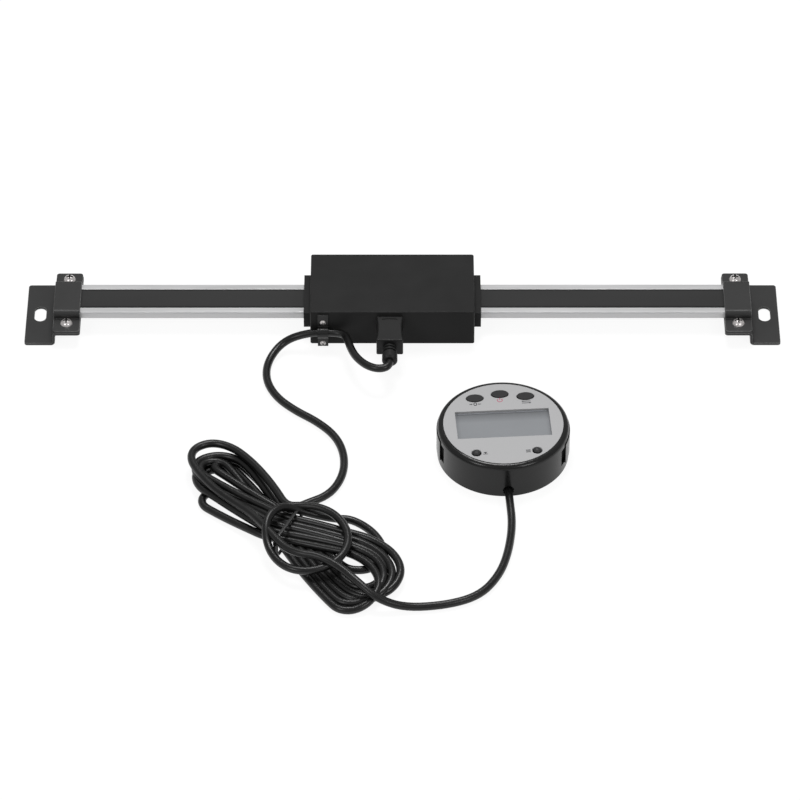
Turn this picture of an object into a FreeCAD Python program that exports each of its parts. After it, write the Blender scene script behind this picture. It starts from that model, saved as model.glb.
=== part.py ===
import FreeCAD, Part
import math
import os

V = FreeCAD.Vector
ORIGIN = V(0, 0, 0)
UP = V(0, 0, 1)

# Driving dimensions, in millimetres and degrees. +X runs along the rail, +Y away from the readout, +Z up.

# Clearances
FIT = 0.15                  # between seated pieces of one assembly, on each side
RUN_CLEARANCE = 0.3         # between the rail and what slides on it
SCREW_CLEARANCE = 0.05      # between a screw and its hole, on the radius

# Rail with the scale board and the film in its groove
RAIL_LENGTH = 332.0
RAIL_WIDTH = 21.5
RAIL_THICKNESS = 3.8
RAIL_CHAMFER = 0.6
GROOVE_CHAMFER = 0.25
FILM_WIDTH = 13.1
FILM_THICKNESS = 0.25
FILM_PROUD = 0.05
SCALE_BOARD_THICKNESS = 0.7

# Z-bent end brackets
PLATE_REACH = 14.0          # mounting plate past the rail's end
BRACKET_DEPTH = 43.2
BRACKET_SHEET = 1.2
BRACKET_BEND = 0.8          # inside the bends
BRACKET_CORNER = 1.4
SHELF_MARGIN = 0.25         # shelf past the strap's inner edge
SHELF_HEIGHT = 7.2          # mounting face to the underside of the rail
SLOT_WIDTH = 5.6
SLOT_LENGTH = 10.6
SLOT_INSET = 6.6            # plate edge to the slot's axis

# Clamp straps over the rail
STRAP_WIDTH = 12.6
STRAP_SHEET = 1.4
STRAP_BEND = 0.9            # inside the bends over the rail
STRAP_FOOT_BEND = 0.2       # inside the bends at its feet
STRAP_SIDE_GAP = 0.15
STRAP_OVERHANG = 0.2        # strap's outer edge past the rail's end
STRAP_SCREW_PITCH = 32.6
STRAP_SCREW_OFFSET = 0.8    # middle of the two screws behind the rail's axis
STRAP_SCREW_DIA = 3.0
STRAP_SCREW_HEAD = 5.8
STRAP_SCREW_HEAD_HEIGHT = 2.1
STRAP_SCREW_LENGTH = 5.0

# Reading head
HEAD_X = -4.8
HEAD_LENGTH = 78.0
HEAD_DEPTH = 43.5
HEAD_HEIGHT = 19.2
HEAD_CLEAR = 1.3            # its underside above the mounting face
HEAD_WALL = 1.8
HEAD_CORNER = 1.0
HEAD_TOP_EDGE = 0.5
BOSS_BITE = 0.4             # screw boss into the cover's side wall
BOSS_INSET_X = 5.5
BASE_THICKNESS = 1.8
BASE_RIB_WIDTH = 3.0
BASE_RIB_PITCH = 12.0
BASE_RIB_LENGTH = 50.0
MOUNT_PITCH_X = 44.0
MOUNT_PITCH_Y = 34.0
MOUNT_HOLE_DIA = 3.3

# Guide inside the head, round the rail
GUIDE_WIDTH = 28.4
GUIDE_HEIGHT = 8.4
KEEPER_THICKNESS = 1.7
CAP_FLANGE = 1.0            # thickness and overhang of the end cap's flange
CAP_REACH = 3.2             # end cap proud of the cover
CAP_CLEARANCE = 0.6         # end cap round the rail
WIPER_THICKNESS = 1.6
WIPER_FRAME = 0.9
PAD_LENGTH = 12.0
PAD_HEIGHT = 3.2
PAD_THICKNESS = 1.3
PAD_PROUD = 0.1
PAD_PITCH = 40.0
SENSOR_LENGTH = 43.7
SENSOR_DEPTH = 15.7
SENSOR_THICKNESS = 1.2
SENSOR_LEDGE = 0.6          # thickness of the ledge that carries the sensor board
SENSOR_LEDGE_WIDTH = 1.8
CHIP_LENGTH = 12.0
CHIP_DEPTH = 6.0
CHIP_HEIGHT = 1.2
LEAF_SHEET = 0.3
LEAF_WIDTH = 6.0
LEAF_SPAN = 38.0
LEAF_FOOT = 4.0
LEAF_CROWN = 8.0
LEAF_BEND = 1.0
SMALL_SCREW_DIA = 2.0
SMALL_SCREW_HEAD = 3.8
KEEPER_SCREW_HEAD_HEIGHT = 1.0
KEEPER_SCREW_LENGTH = 5.0
KEEPER_SCREW_PITCH = 60.0
BASE_SCREW_LENGTH = 8.0

# Connector on the head's front
PLUG_X = -6.0
PLUG_HEIGHT = 12.6          # its axis above the head's underside
PLUG_LENGTH = 17.6
PLUG_NOSE_WIDTH = 12.8
PLUG_WAIST_WIDTH = 11.2
PLUG_TAIL_WIDTH = 12.9
PLUG_THICKNESS = 9.2
PLUG_EDGE = 0.7
PLUG_GAP = 0.3              # plug to the head's front
PLUG_GROOVE_SETBACK = 2.0
PLUG_GROOVE_RADIUS = 14.0
PLUG_GROOVE_WIDTH = 0.6
PLUG_GROOVE_DEPTH = 0.35
PLUG_GROOVE_SWEEP = 30.0
SHELL_WIDTH = 9.4
SHELL_THICKNESS = 4.4
SHELL_GAP = 1.0             # shell's end to the socket's back
SOCKET_WALL = 1.4
SOCKET_GAP = 0.55           # socket to the guide
RELIEF_RINGS = 3
RELIEF_RING_PITCH = 2.0
RELIEF_RING_DIA = 6.6
RELIEF_GROOVE_DIA = 5.0
RELIEF_COLLAR_DIA = 7.3
RELIEF_COLLAR_LENGTH = 4.2
RELIEF_EDGE = 0.8
RELIEF_RUN = 4.0            # straight cable behind the collar

# Cable clip on the head's front
CLIP_INSET = 6.05           # clip's middle from the head's left end
CLIP_WIDTH = 5.0
CLIP_SHEET = 0.8
CLIP_BEND = 0.3
CLIP_TOP_GAP = 1.2          # clip's top edge below the head's top
CLIP_FOOT = 1.0             # clip's bottom edge below the head's underside
CLIP_SCREW_TOP = 5.8        # upper screw below the head's top
CLIP_SCREW_BOTTOM = 0.9     # lower screw above the head's underside
CLIP_SCREW_HEAD = 2.9
CLIP_SCREW_HEAD_HEIGHT = 1.0
CLIP_SCREW_DIA = 1.2
CLIP_SCREW_LENGTH = 2.4

# Cable, its hank and the tie
CABLE_DIA = 3.6
CABLE_HEIGHT = 9.8          # of its axis in the clip
CABLE_GAP = 0.3             # cable to the head's front
HANK_HEIGHT = 9.0
HANK_EDGE = 2.5
HANK_X = -54.5
HANK_SETBACK = 152.0        # hank's waist to the rail's axis
HANK_TURN = -45.0
LOOP_RADIUS = 18.5          # of the loose loop on the hank
LOOP_PLACE = V(16.0, -1.0, 0)
LOOP_SINK = 0.2
TIE_PLACE = 4.4             # along the hank
TIE_SLANT = 22.0            # from straight across the hank
TIE_WIDTH = 1.4
TIE_THICKNESS = 0.8
TIE_CLEARANCE = 0.1

# Readout puck
READOUT_X = 46.6
READOUT_SETBACK = 98.4      # its axis to the rail's axis
READOUT_TURN = 3.9
CASE_DIA = 61.0
CASE_HEIGHT = 17.8
CASE_WALL = 2.0
CASE_EDGE = 2.3
CASE_ROOF = 1.5
RIM_WIDTH = 2.7             # case edge to the faceplate
FACE_THICKNESS = 1.0
WINDOW_LENGTH = 43.6        # the part of the window that shows
WINDOW_DEPTH = 18.9
WINDOW_THICKNESS = 0.6
LCD_MARGIN = 1.5            # window and panel hidden under the faceplate on each side
LCD_THICKNESS = 2.2
CONTACT_STRIP_WIDTH = 2.0
CONTACT_STRIP_HEIGHT = 3.5
MAIN_BOARD_GAP = 1.0        # board edge to the case wall
MAIN_BOARD_THICKNESS = 1.6
POST_DIA = 5.0
POST_INSET = 6.0            # post axis to the case's outside
POST_ANGLE = 34.0
BACK_THICKNESS = 2.0
SIDE_SLOT_WIDTH = 4.0
SIDE_SLOT_BOTTOM = 4.5
SIDE_SLOT_HEIGHT = 9.0
SIDE_SLOT_DEPTH = 1.2
SIDE_SLOT_ANGLES = (-72.4, 61.0)   # from the cable hole
SIDE_PAD_SWEEP = 34.0
SIDE_PAD_PROUD = 0.4
SIDE_PAD_MARGIN = 1.0       # pad past the slot's ends
GLAND_HOLE_DIA = 5.2
GLAND_HEIGHT = 3.4
GLAND_LENGTH = 2.8
GLAND_RECESS = 1.3          # gland's face inside the case's outside
GLAND_RUN = 8.0             # straight cable in front of the gland

# Buttons of the readout
BUTTON_TRAVEL = 0.3
BUTTON_GAP = 0.25           # oval button to the faceplate, all round
DOME_GAP = 0.4              # round button to the faceplate, all round
DOME_HOLE_CHAMFER = 0.3
BUTTON_FLANGE = 0.8
BUTTON_FLANGE_HEIGHT = 1.0
BUTTON_REST_GAP = 0.1       # flange below the roof at rest
BUTTON_STEM = 0.8           # stem below the flange
OVAL_LENGTH = 7.9
OVAL_DEPTH = 4.9
OVAL_PROUD = 0.4
DOME_DIA = 3.6
DOME_PROUD = 1.1
DOME_LAND = 0.3             # straight wall of a round button above the faceplate
SIDE_OVAL_X = 11.8
SIDE_OVAL_Y = 18.4
MIDDLE_OVAL_Y = 20.6
ROUND_X = 14.0
ROUND_Y = -19.6
SWITCH_SIZE = 4.5

# Coin cell and its door
CELL_DIA = 20.0
CELL_THICKNESS = 3.2
CELL_GAP = 0.1
DOOR_DIA = 23.0
DOOR_GAP = 0.2
DOOR_RECESS = 0.3
DOOR_LUG_REACH = 1.3
DOOR_LUG_HEIGHT = 1.0
DOOR_LUG_SWEEP = 40.0
DOOR_TURN = 45.0
COIN_SLOT_LENGTH = 14.0
COIN_SLOT_WIDTH = 1.8
COIN_SLOT_DEPTH = 1.0
WELL_WALL = 1.5
WELL_GAP = 0.3
CELL_CONTACT_WIDTH = 3.0
CELL_CONTACT_PITCH = 8.0
CELL_CONTACT_LENGTH = 9.0

# Places worked out from the driving dimensions
OBJECT_BACK = max(BRACKET_DEPTH, HEAD_DEPTH) / 2
RAIL_Y = (READOUT_SETBACK + CASE_DIA / 2 - OBJECT_BACK) / 2
RAIL_TOP = SHELF_HEIGHT + RAIL_THICKNESS
FILM_TOP = RAIL_TOP + FILM_PROUD
STRAP_X = RAIL_LENGTH / 2 + STRAP_OVERHANG - STRAP_WIDTH / 2
SHELF_INNER = STRAP_X - STRAP_WIDTH / 2 - SHELF_MARGIN
RISER_X = RAIL_LENGTH / 2
PLATE_EDGE = RAIL_LENGTH / 2 + PLATE_REACH
TAB_TOP = SHELF_HEIGHT + STRAP_SHEET
HEAD_TOP = HEAD_CLEAR + HEAD_HEIGHT
HEAD_FRONT = RAIL_Y - HEAD_DEPTH / 2
HEAD_ROOF = HEAD_TOP - HEAD_WALL
HEAD_INNER_LENGTH = HEAD_LENGTH - 2 * HEAD_WALL
HEAD_INNER_DEPTH = HEAD_DEPTH - 2 * HEAD_WALL
BASE_TOP = HEAD_CLEAR + BASE_THICKNESS
KEEPER_TOP = SHELF_HEIGHT - RUN_CLEARANCE
GUIDE_BOTTOM = KEEPER_TOP - KEEPER_THICKNESS
GUIDE_TOP = GUIDE_BOTTOM + GUIDE_HEIGHT
GUIDE_LENGTH = HEAD_INNER_LENGTH - 2 * (CAP_FLANGE + FIT)
CHANNEL_WIDTH = RAIL_WIDTH + 2 * RUN_CLEARANCE
CHANNEL_TOP = FILM_TOP + RUN_CLEARANCE
GUIDE_WALL_Y = (CHANNEL_WIDTH + GUIDE_WIDTH) / 4
RAIL_MIDDLE = SHELF_HEIGHT + RAIL_THICKNESS / 2
SENSOR_BOTTOM = CHANNEL_TOP + SENSOR_LEDGE
SENSOR_TOP = SENSOR_BOTTOM + SENSOR_THICKNESS
SIDE_ROOM = (HEAD_INNER_DEPTH - GUIDE_WIDTH) / 2 - FIT
BOSS_DIA = SIDE_ROOM + BOSS_BITE
BOSS_X = HEAD_LENGTH / 2 - BOSS_INSET_X
BOSS_Y = GUIDE_WIDTH / 2 + FIT + BOSS_DIA / 2
SOCKET_DEPTH = SIDE_ROOM + FIT - SOCKET_GAP
SHELL_REACH = HEAD_WALL + SOCKET_DEPTH - SOCKET_WALL - SHELL_GAP
PLUG_Z = HEAD_CLEAR + PLUG_HEIGHT
PLUG_NOSE = HEAD_FRONT - PLUG_GAP
PLUG_TAIL = PLUG_NOSE - PLUG_LENGTH
RELIEF_LENGTH = RELIEF_RINGS * RELIEF_RING_PITCH + RELIEF_COLLAR_LENGTH
RELIEF_END = PLUG_TAIL - RELIEF_LENGTH
CLIP_X = HEAD_X - HEAD_LENGTH / 2 + CLIP_INSET
CABLE_Y = HEAD_FRONT - CABLE_GAP - CABLE_DIA / 2
READOUT_Y = RAIL_Y - READOUT_SETBACK
CASE_RADIUS = CASE_DIA / 2
CAVITY_RADIUS = CASE_RADIUS - CASE_WALL
FACE_RADIUS = CASE_RADIUS - RIM_WIDTH
ROOF_TOP = CASE_HEIGHT - FACE_THICKNESS
ROOF_BOTTOM = ROOF_TOP - CASE_ROOF
LCD_TOP = ROOF_TOP - WINDOW_THICKNESS
LCD_BOTTOM = LCD_TOP - LCD_THICKNESS
BOARD_TOP = LCD_BOTTOM - CONTACT_STRIP_HEIGHT
BOARD_BOTTOM = BOARD_TOP - MAIN_BOARD_THICKNESS
POST_RADIUS = CASE_RADIUS - POST_INSET
POSTS = [
    V(sx * POST_RADIUS * math.cos(math.radians(POST_ANGLE)), sy * POST_RADIUS * math.sin(math.radians(POST_ANGLE)), 0)
    for sx in (-1, 1) for sy in (-1, 1)
]
GLAND_FACE = CASE_RADIUS - GLAND_RECESS
STEM_BOTTOM = ROOF_BOTTOM - BUTTON_REST_GAP - BUTTON_FLANGE_HEIGHT - BUTTON_STEM
SWITCH_TOP = STEM_BOTTOM - BUTTON_TRAVEL - BUTTON_REST_GAP
DOOR_RADIUS = DOOR_DIA / 2
LUG_BOTTOM = BACK_THICKNESS + DOOR_GAP
DOOR_TOP = LUG_BOTTOM + DOOR_LUG_HEIGHT
LUG_RADIUS = DOOR_RADIUS + DOOR_LUG_REACH
WELL_RADIUS = LUG_RADIUS + WELL_GAP
CELL_BOTTOM = DOOR_TOP + CELL_GAP
CELL_TOP = CELL_BOTTOM + CELL_THICKNESS
BUTTONS = {
    "zero_button": ("oval", V(-SIDE_OVAL_X, SIDE_OVAL_Y, 0)),
    "power_button": ("oval", V(0, MIDDLE_OVAL_Y, 0)),
    "unit_button": ("oval", V(SIDE_OVAL_X, SIDE_OVAL_Y, 0)),
    "preset_button": ("round", V(-ROUND_X, ROUND_Y, 0)),
    "mode_button": ("round", V(ROUND_X, ROUND_Y, 0)),
}

# Route of the cable from plug to hank: x, y from the rail's axis, z
LEAD_ROUTE = [
    (-11.6, -55.6, 13.4),
    (-17.6, -51.0, 12.8),
    (-20.9, -44.4, 12.2),
    (-23.4, -36.8, 11.5),
    (-26.0, -28.8, 10.6),
    (-31.0, -23.85, 9.8),
    (-44.5, -23.85, 9.8),
    (-56.5, -24.2, 5.0),
    (-63.8, -35.0, 1.8),
    (-64.6, -48.8, 1.8),
    (-59.5, -61.4, 1.8),
    (-50.4, -71.1, 1.8),
    (-40.1, -79.5, 1.8),
    (-31.8, -89.9, 1.8),
    (-28.2, -102.9, 1.8),
    (-28.7, -116.1, 1.8),
    (-34.2, -128.5, 1.8),
    (-45.3, -135.6, 1.8),
    (-57.5, -137.5, 1.8),
]

# Route of the cable from hank to readout: x, y from the rail's axis, z
TAIL_ROUTE = [
    (-17.0, -200.0, 5.0),
    (-8.0, -204.6, 4.6),
    (4.0, -205.2, 1.8),
    (20.4, -203.8, 1.8),
    (35.0, -197.4, 1.8),
    (43.8, -183.9, 1.8),
    (48.1, -168.5, 1.8),
    (50.2, -150.0, 1.8),
]

# Outline of the hank along and across its axis, with its corner radii
HANK_OUTLINE = [
    (-69, 18, 12), (-38, 21.5, 25), (-3, 8.5, 8), (16, 21.5, 10), (48, 23.5, 20), (73, 10, 18),
    (70, -24, 16), (28, -17, 30), (4, -11, 20), (-34, -14, 15), (-70, -8, 12),
]


# General shapes

def rounded_edges(points, radii, closed=False):
    """Straight runs joined by tangent arcs; a radius of zero leaves a sharp corner."""
    corners = []
    for i, point in enumerate(points):
        if radii[i] == 0:
            corners.append((point, None, point))
            continue
        back = (points[i - 1] - point).normalize()
        ahead = (points[(i + 1) % len(points)] - point).normalize()
        half = back.getAngle(ahead) / 2
        reach = radii[i] / math.tan(half)
        middle = point + (back + ahead).normalize() * (radii[i] / math.sin(half) - radii[i])
        corners.append((point + back * reach, middle, point + ahead * reach))
    edges = []
    for i, (start, middle, end) in enumerate(corners):
        if middle is not None:
            edges.append(Part.Arc(start, middle, end).toShape())
        if closed or i < len(corners) - 1:
            following = corners[(i + 1) % len(corners)][0]
            edges.append(Part.LineSegment(end, following).toShape())
    return edges


def prism(points, radii, height):
    """Closed outline in plan, with rounded corners, raised by height."""
    face = Part.Face(Part.Wire(rounded_edges(points, radii, closed=True)))
    return face.extrude(UP * height)


def block(length, depth, bottom, top, x=0.0, y=0.0, corner=0.0):
    """Upright block centred on x, y, with its four upright edges rounded."""
    points = [V(x + sx * length / 2, y + sy * depth / 2, bottom) for sx, sy in ((-1, -1), (1, -1), (1, 1), (-1, 1))]
    return prism(points, [corner] * 4, top - bottom)


def disc(radius, bottom, top, x=0.0, y=0.0):
    return Part.makeCylinder(radius, top - bottom, V(x, y, bottom))


def bent_sheet(path, thickness, bends, width):
    """Sheet folded along a path of plan points, with an inside radius at each fold, raised by width."""
    steps = [(path[i + 1] - path[i]).normalize() for i in range(len(path) - 1)]
    sides = []
    for side in (1, -1):
        for i, point in enumerate(path):
            before = steps[max(i - 1, 0)]
            after = steps[min(i, len(steps) - 1)]
            normals = UP.cross(before), UP.cross(after)
            shift = (normals[0] + normals[1]) * (side * thickness / 2 / (1 + normals[0].dot(normals[1])))
            turn = before.cross(after).z * side
            fold = 0 < i < len(path) - 1
            radius = bends[i - 1] + (thickness if turn < 0 else 0) if fold else 0
            sides.append((side, point + shift, radius))
    outline = [s for s in sides if s[0] == 1] + [s for s in reversed(sides) if s[0] == -1]
    return prism([s[1] for s in outline], [s[2] for s in outline], width)


def stand_along_x(shape):
    """Turns a plan profile so that its x becomes Y, its y becomes Z and its height runs along +X."""
    shape.rotate(ORIGIN, V(1, 1, 1), 120)
    return shape


def stand_along_y(shape):
    """Turns a plan profile so that its x stays X, its y becomes Z and its height runs along -Y."""
    shape.rotate(ORIGIN, V(1, 0, 0), 90)
    return shape


def moved(shape, x, y, z):
    copy = shape.copy()
    copy.translate(V(x, y, z))
    return copy


def grouped(shapes):
    return Part.makeCompound(shapes)


def corners_of(pitch_x, pitch_y, x=0.0, y=0.0):
    return [(x + sx * pitch_x / 2, y + sy * pitch_y / 2) for sx in (-1, 1) for sy in (-1, 1)]


def pan_screw(diameter, length, head, head_height):
    """Domed screw with a cross recess, its head above z = 0 and its shank below."""
    sphere_radius = ((head / 2) ** 2 + head_height ** 2) / (2 * head_height)
    dome = Part.makeSphere(sphere_radius, V(0, 0, head_height - sphere_radius))
    screw = dome.common(disc(head / 2, 0, head_height))
    screw = screw.fuse(disc(diameter / 2, -length, 0)).removeSplitter()
    for long_side in (True, False):
        arm = (head * 0.56, head * 0.16)
        size = arm if long_side else arm[::-1]
        screw = screw.cut(block(size[0], size[1], head_height * 0.45, head_height * 2))
    return screw


def flat_screw(diameter, length, head):
    """Countersunk screw that goes in upwards, its head's face at z = 0."""
    cone_height = (head - diameter) / 2
    cone = Part.makeCone(head / 2, diameter / 2, cone_height)
    screw = cone.fuse(disc(diameter / 2, cone_height, length))
    return screw.cut(block(head * 0.6, head * 0.16, -1, cone_height * 0.6))


def flat_screw_hole(diameter, length, head):
    """The hole for a countersunk screw, with its clearance."""
    return flat_screw_blank(diameter + 2 * SCREW_CLEARANCE, length, head + 2 * SCREW_CLEARANCE)


def flat_screw_blank(diameter, length, head):
    cone_height = (head - diameter) / 2
    return Part.makeCone(head / 2, diameter / 2, cone_height).fuse(disc(diameter / 2, cone_height, length))


# Rail

def rail_extrusion():
    half = RAIL_WIDTH / 2
    groove = FILM_WIDTH / 2 + FIT
    floor = FILM_TOP - FILM_THICKNESS - SCALE_BOARD_THICKNESS
    profile = [
        (-half, SHELF_HEIGHT), (half, SHELF_HEIGHT), (half, RAIL_TOP), (groove, RAIL_TOP),
        (groove, floor), (-groove, floor), (-groove, RAIL_TOP), (-half, RAIL_TOP),
    ]
    rail = stand_along_x(prism([V(y, z, 0) for y, z in profile], [0] * len(profile), RAIL_LENGTH))
    for place, size in ((half, RAIL_CHAMFER), (groove, GROOVE_CHAMFER)):
        long_edges = [
            edge for edge in rail.Edges
            if abs(edge.Length - RAIL_LENGTH) < 1e-6 and abs(abs(edge.CenterOfMass.y) - place) < 1e-6
            and abs(edge.CenterOfMass.z - floor) > 1e-6
        ]
        rail = rail.makeChamfer(size, long_edges)
    return moved(rail, -RAIL_LENGTH / 2, RAIL_Y, 0)


def scale_board():
    top = FILM_TOP - FILM_THICKNESS
    return block(RAIL_LENGTH, FILM_WIDTH, top - SCALE_BOARD_THICKNESS, top, y=RAIL_Y)


def cover_film():
    return block(RAIL_LENGTH, FILM_WIDTH, FILM_TOP - FILM_THICKNESS, FILM_TOP, y=RAIL_Y)


def strap_screw_places(side):
    middle = RAIL_Y + STRAP_SCREW_OFFSET
    return [(side * STRAP_X, middle + sy * STRAP_SCREW_PITCH / 2) for sy in (-1, 1)]


def end_bracket(side):
    middle = BRACKET_SHEET / 2
    path = [
        V(PLATE_EDGE, middle, 0), V(RISER_X, middle, 0),
        V(RISER_X, SHELF_HEIGHT - middle, 0), V(SHELF_INNER, SHELF_HEIGHT - middle, 0),
    ]
    sheet = stand_along_y(bent_sheet(path, BRACKET_SHEET, [BRACKET_BEND] * 2, BRACKET_DEPTH))
    sheet.translate(V(0, BRACKET_DEPTH / 2, 0))
    length = PLATE_EDGE - SHELF_INNER
    middle_x = PLATE_EDGE - length / 2
    sheet = sheet.common(block(length, BRACKET_DEPTH, 0, SHELF_HEIGHT, x=middle_x, corner=BRACKET_CORNER))
    slot_x = PLATE_EDGE - SLOT_INSET
    sheet = sheet.cut(block(SLOT_WIDTH, SLOT_LENGTH - SLOT_WIDTH, 0, BRACKET_SHEET, x=slot_x))
    for sy in (-1, 1):
        sheet = sheet.cut(disc(SLOT_WIDTH / 2, 0, BRACKET_SHEET, slot_x, sy * (SLOT_LENGTH - SLOT_WIDTH) / 2))
    if side < 0:
        sheet.rotate(ORIGIN, UP, 180)
    sheet.translate(V(0, RAIL_Y, 0))
    for x, y in strap_screw_places(side):
        sheet = sheet.cut(disc(STRAP_SCREW_DIA / 2 + SCREW_CLEARANCE, 0, SHELF_HEIGHT, x, y))
    return sheet.removeSplitter()


def clamp_strap(side):
    middle = STRAP_SHEET / 2
    tab = BRACKET_DEPTH / 2
    wall = RAIL_WIDTH / 2 + STRAP_SIDE_GAP + middle
    low, high = SHELF_HEIGHT + middle, FILM_TOP + middle
    path = [V(y, z, 0) for y, z in ((-tab, low), (-wall, low), (-wall, high), (wall, high), (wall, low), (tab, low))]
    bends = [STRAP_FOOT_BEND, STRAP_BEND, STRAP_BEND, STRAP_FOOT_BEND]
    strap = stand_along_x(bent_sheet(path, STRAP_SHEET, bends, STRAP_WIDTH))
    strap.translate(V(-STRAP_WIDTH / 2, 0, 0))
    strap = strap.common(block(STRAP_WIDTH, BRACKET_DEPTH, 0, FILM_TOP + STRAP_SHEET, corner=BRACKET_CORNER))
    strap.translate(V(side * STRAP_X, RAIL_Y, 0))
    for x, y in strap_screw_places(side):
        strap = strap.cut(disc(STRAP_SCREW_DIA / 2 + SCREW_CLEARANCE, SHELF_HEIGHT, TAB_TOP, x, y))
    return strap


def strap_screws():
    screw = pan_screw(STRAP_SCREW_DIA, STRAP_SCREW_LENGTH, STRAP_SCREW_HEAD, STRAP_SCREW_HEAD_HEIGHT)
    return grouped([moved(screw, x, y, TAB_TOP) for side in (-1, 1) for x, y in strap_screw_places(side)])


# Reading head, drawn round its own centre on the rail's axis

def at_head(shape):
    return moved(shape, HEAD_X, RAIL_Y, 0)


def clip_screw_heights():
    return HEAD_TOP - CLIP_SCREW_TOP, HEAD_CLEAR + CLIP_SCREW_BOTTOM


def clip_screw_holes():
    """The two clip screws' holes, drawn from the head's own centre."""
    radius = CLIP_SCREW_DIA / 2 + SCREW_CLEARANCE
    front = -HEAD_DEPTH / 2
    return [
        Part.makeCylinder(radius, CLIP_SCREW_LENGTH - CLIP_SHEET, V(CLIP_X - HEAD_X, front, z), V(0, 1, 0))
        for z in clip_screw_heights()
    ]


def head_cover():
    cover = block(HEAD_LENGTH, HEAD_DEPTH, HEAD_CLEAR, HEAD_TOP, corner=HEAD_CORNER)
    top_edges = [edge for edge in cover.Edges if abs(edge.BoundBox.ZMin - HEAD_TOP) < 1e-6]
    cover = cover.makeFillet(HEAD_TOP_EDGE, top_edges)
    cover = cover.cut(block(HEAD_INNER_LENGTH, HEAD_INNER_DEPTH, HEAD_CLEAR, HEAD_ROOF))
    for x, y in corners_of(2 * BOSS_X, 2 * BOSS_Y):
        boss = disc(BOSS_DIA / 2, BASE_TOP, HEAD_ROOF, x, y)
        cover = cover.fuse(boss.common(block(HEAD_LENGTH, HEAD_DEPTH, HEAD_CLEAR, HEAD_TOP)))
    for x, y in corners_of(2 * BOSS_X, 2 * BOSS_Y):
        hole = SMALL_SCREW_DIA / 2 + SCREW_CLEARANCE
        cover = cover.cut(disc(hole, BASE_TOP, HEAD_CLEAR + BASE_SCREW_LENGTH, x, y))
    window = block(HEAD_LENGTH * 2, GUIDE_WIDTH + 2 * FIT, GUIDE_BOTTOM - FIT, GUIDE_TOP + FIT)
    ends = window.common(block(HEAD_LENGTH, HEAD_DEPTH, HEAD_CLEAR, HEAD_TOP))
    ends = ends.cut(block(HEAD_INNER_LENGTH, HEAD_DEPTH, HEAD_CLEAR, HEAD_TOP))
    cover = cover.cut(ends)
    opening_width = SHELL_WIDTH + 2 * PLUG_GAP
    half_opening = SHELL_THICKNESS / 2 + PLUG_GAP
    opening = block(opening_width, HEAD_WALL, PLUG_Z - half_opening, PLUG_Z + half_opening)
    cover = cover.cut(moved(opening, PLUG_X - HEAD_X, (HEAD_WALL - HEAD_DEPTH) / 2, 0))
    for hole in clip_screw_holes():
        cover = cover.cut(hole)
    return at_head(cover.removeSplitter())


def head_base():
    base = block(HEAD_INNER_LENGTH - 2 * FIT, HEAD_INNER_DEPTH - 2 * FIT, HEAD_CLEAR, BASE_TOP)
    for sy in (-1, 1):
        rib = block(BASE_RIB_LENGTH, BASE_RIB_WIDTH, BASE_TOP, GUIDE_BOTTOM, y=sy * BASE_RIB_PITCH / 2)
        base = base.fuse(rib)
    for x, y in corners_of(MOUNT_PITCH_X, MOUNT_PITCH_Y):
        base = base.cut(disc(MOUNT_HOLE_DIA / 2, HEAD_CLEAR, BASE_TOP, x, y))
    hole = flat_screw_hole(SMALL_SCREW_DIA, BASE_SCREW_LENGTH, SMALL_SCREW_HEAD)
    for x, y in corners_of(2 * BOSS_X, 2 * BOSS_Y):
        base = base.cut(moved(hole, x, y, HEAD_CLEAR))
    return at_head(base.removeSplitter())


def base_screws():
    screw = flat_screw(SMALL_SCREW_DIA, BASE_SCREW_LENGTH, SMALL_SCREW_HEAD)
    return grouped([at_head(moved(screw, x, y, HEAD_CLEAR)) for x, y in corners_of(2 * BOSS_X, 2 * BOSS_Y)])


def keeper_screw_places():
    return corners_of(KEEPER_SCREW_PITCH, 2 * GUIDE_WALL_Y)


def guide_body():
    body = block(GUIDE_LENGTH, GUIDE_WIDTH, KEEPER_TOP, GUIDE_TOP)
    body = body.cut(block(GUIDE_LENGTH, CHANNEL_WIDTH, KEEPER_TOP, CHANNEL_TOP))
    pocket = SENSOR_LENGTH + 2 * FIT, SENSOR_DEPTH + 2 * FIT
    body = body.cut(block(pocket[0], pocket[1], SENSOR_BOTTOM, GUIDE_TOP))
    ledge = 2 * SENSOR_LEDGE_WIDTH
    body = body.cut(block(SENSOR_LENGTH - ledge, SENSOR_DEPTH - ledge, CHANNEL_TOP, SENSOR_BOTTOM))
    for x, y, y_size in pad_places():
        recess = block(PAD_LENGTH + 2 * FIT, y_size, RAIL_MIDDLE - PAD_HEIGHT / 2, RAIL_MIDDLE + PAD_HEIGHT / 2, x, y)
        body = body.cut(recess)
    hole = SMALL_SCREW_DIA / 2 + SCREW_CLEARANCE
    for x, y in keeper_screw_places():
        body = body.cut(disc(hole, KEEPER_TOP, GUIDE_BOTTOM + KEEPER_SCREW_LENGTH, x, y))
    return at_head(body)


def guide_keeper():
    keeper = block(GUIDE_LENGTH, GUIDE_WIDTH, GUIDE_BOTTOM, KEEPER_TOP)
    hole = SMALL_SCREW_DIA / 2 + SCREW_CLEARANCE
    for x, y in keeper_screw_places():
        keeper = keeper.cut(disc(hole, GUIDE_BOTTOM, KEEPER_TOP, x, y))
    return at_head(keeper)


def keeper_screws():
    screw = pan_screw(SMALL_SCREW_DIA, KEEPER_SCREW_LENGTH, SMALL_SCREW_HEAD, KEEPER_SCREW_HEAD_HEIGHT)
    screw.rotate(ORIGIN, V(1, 0, 0), 180)
    return grouped([at_head(moved(screw, x, y, GUIDE_BOTTOM)) for x, y in keeper_screw_places()])


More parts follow.
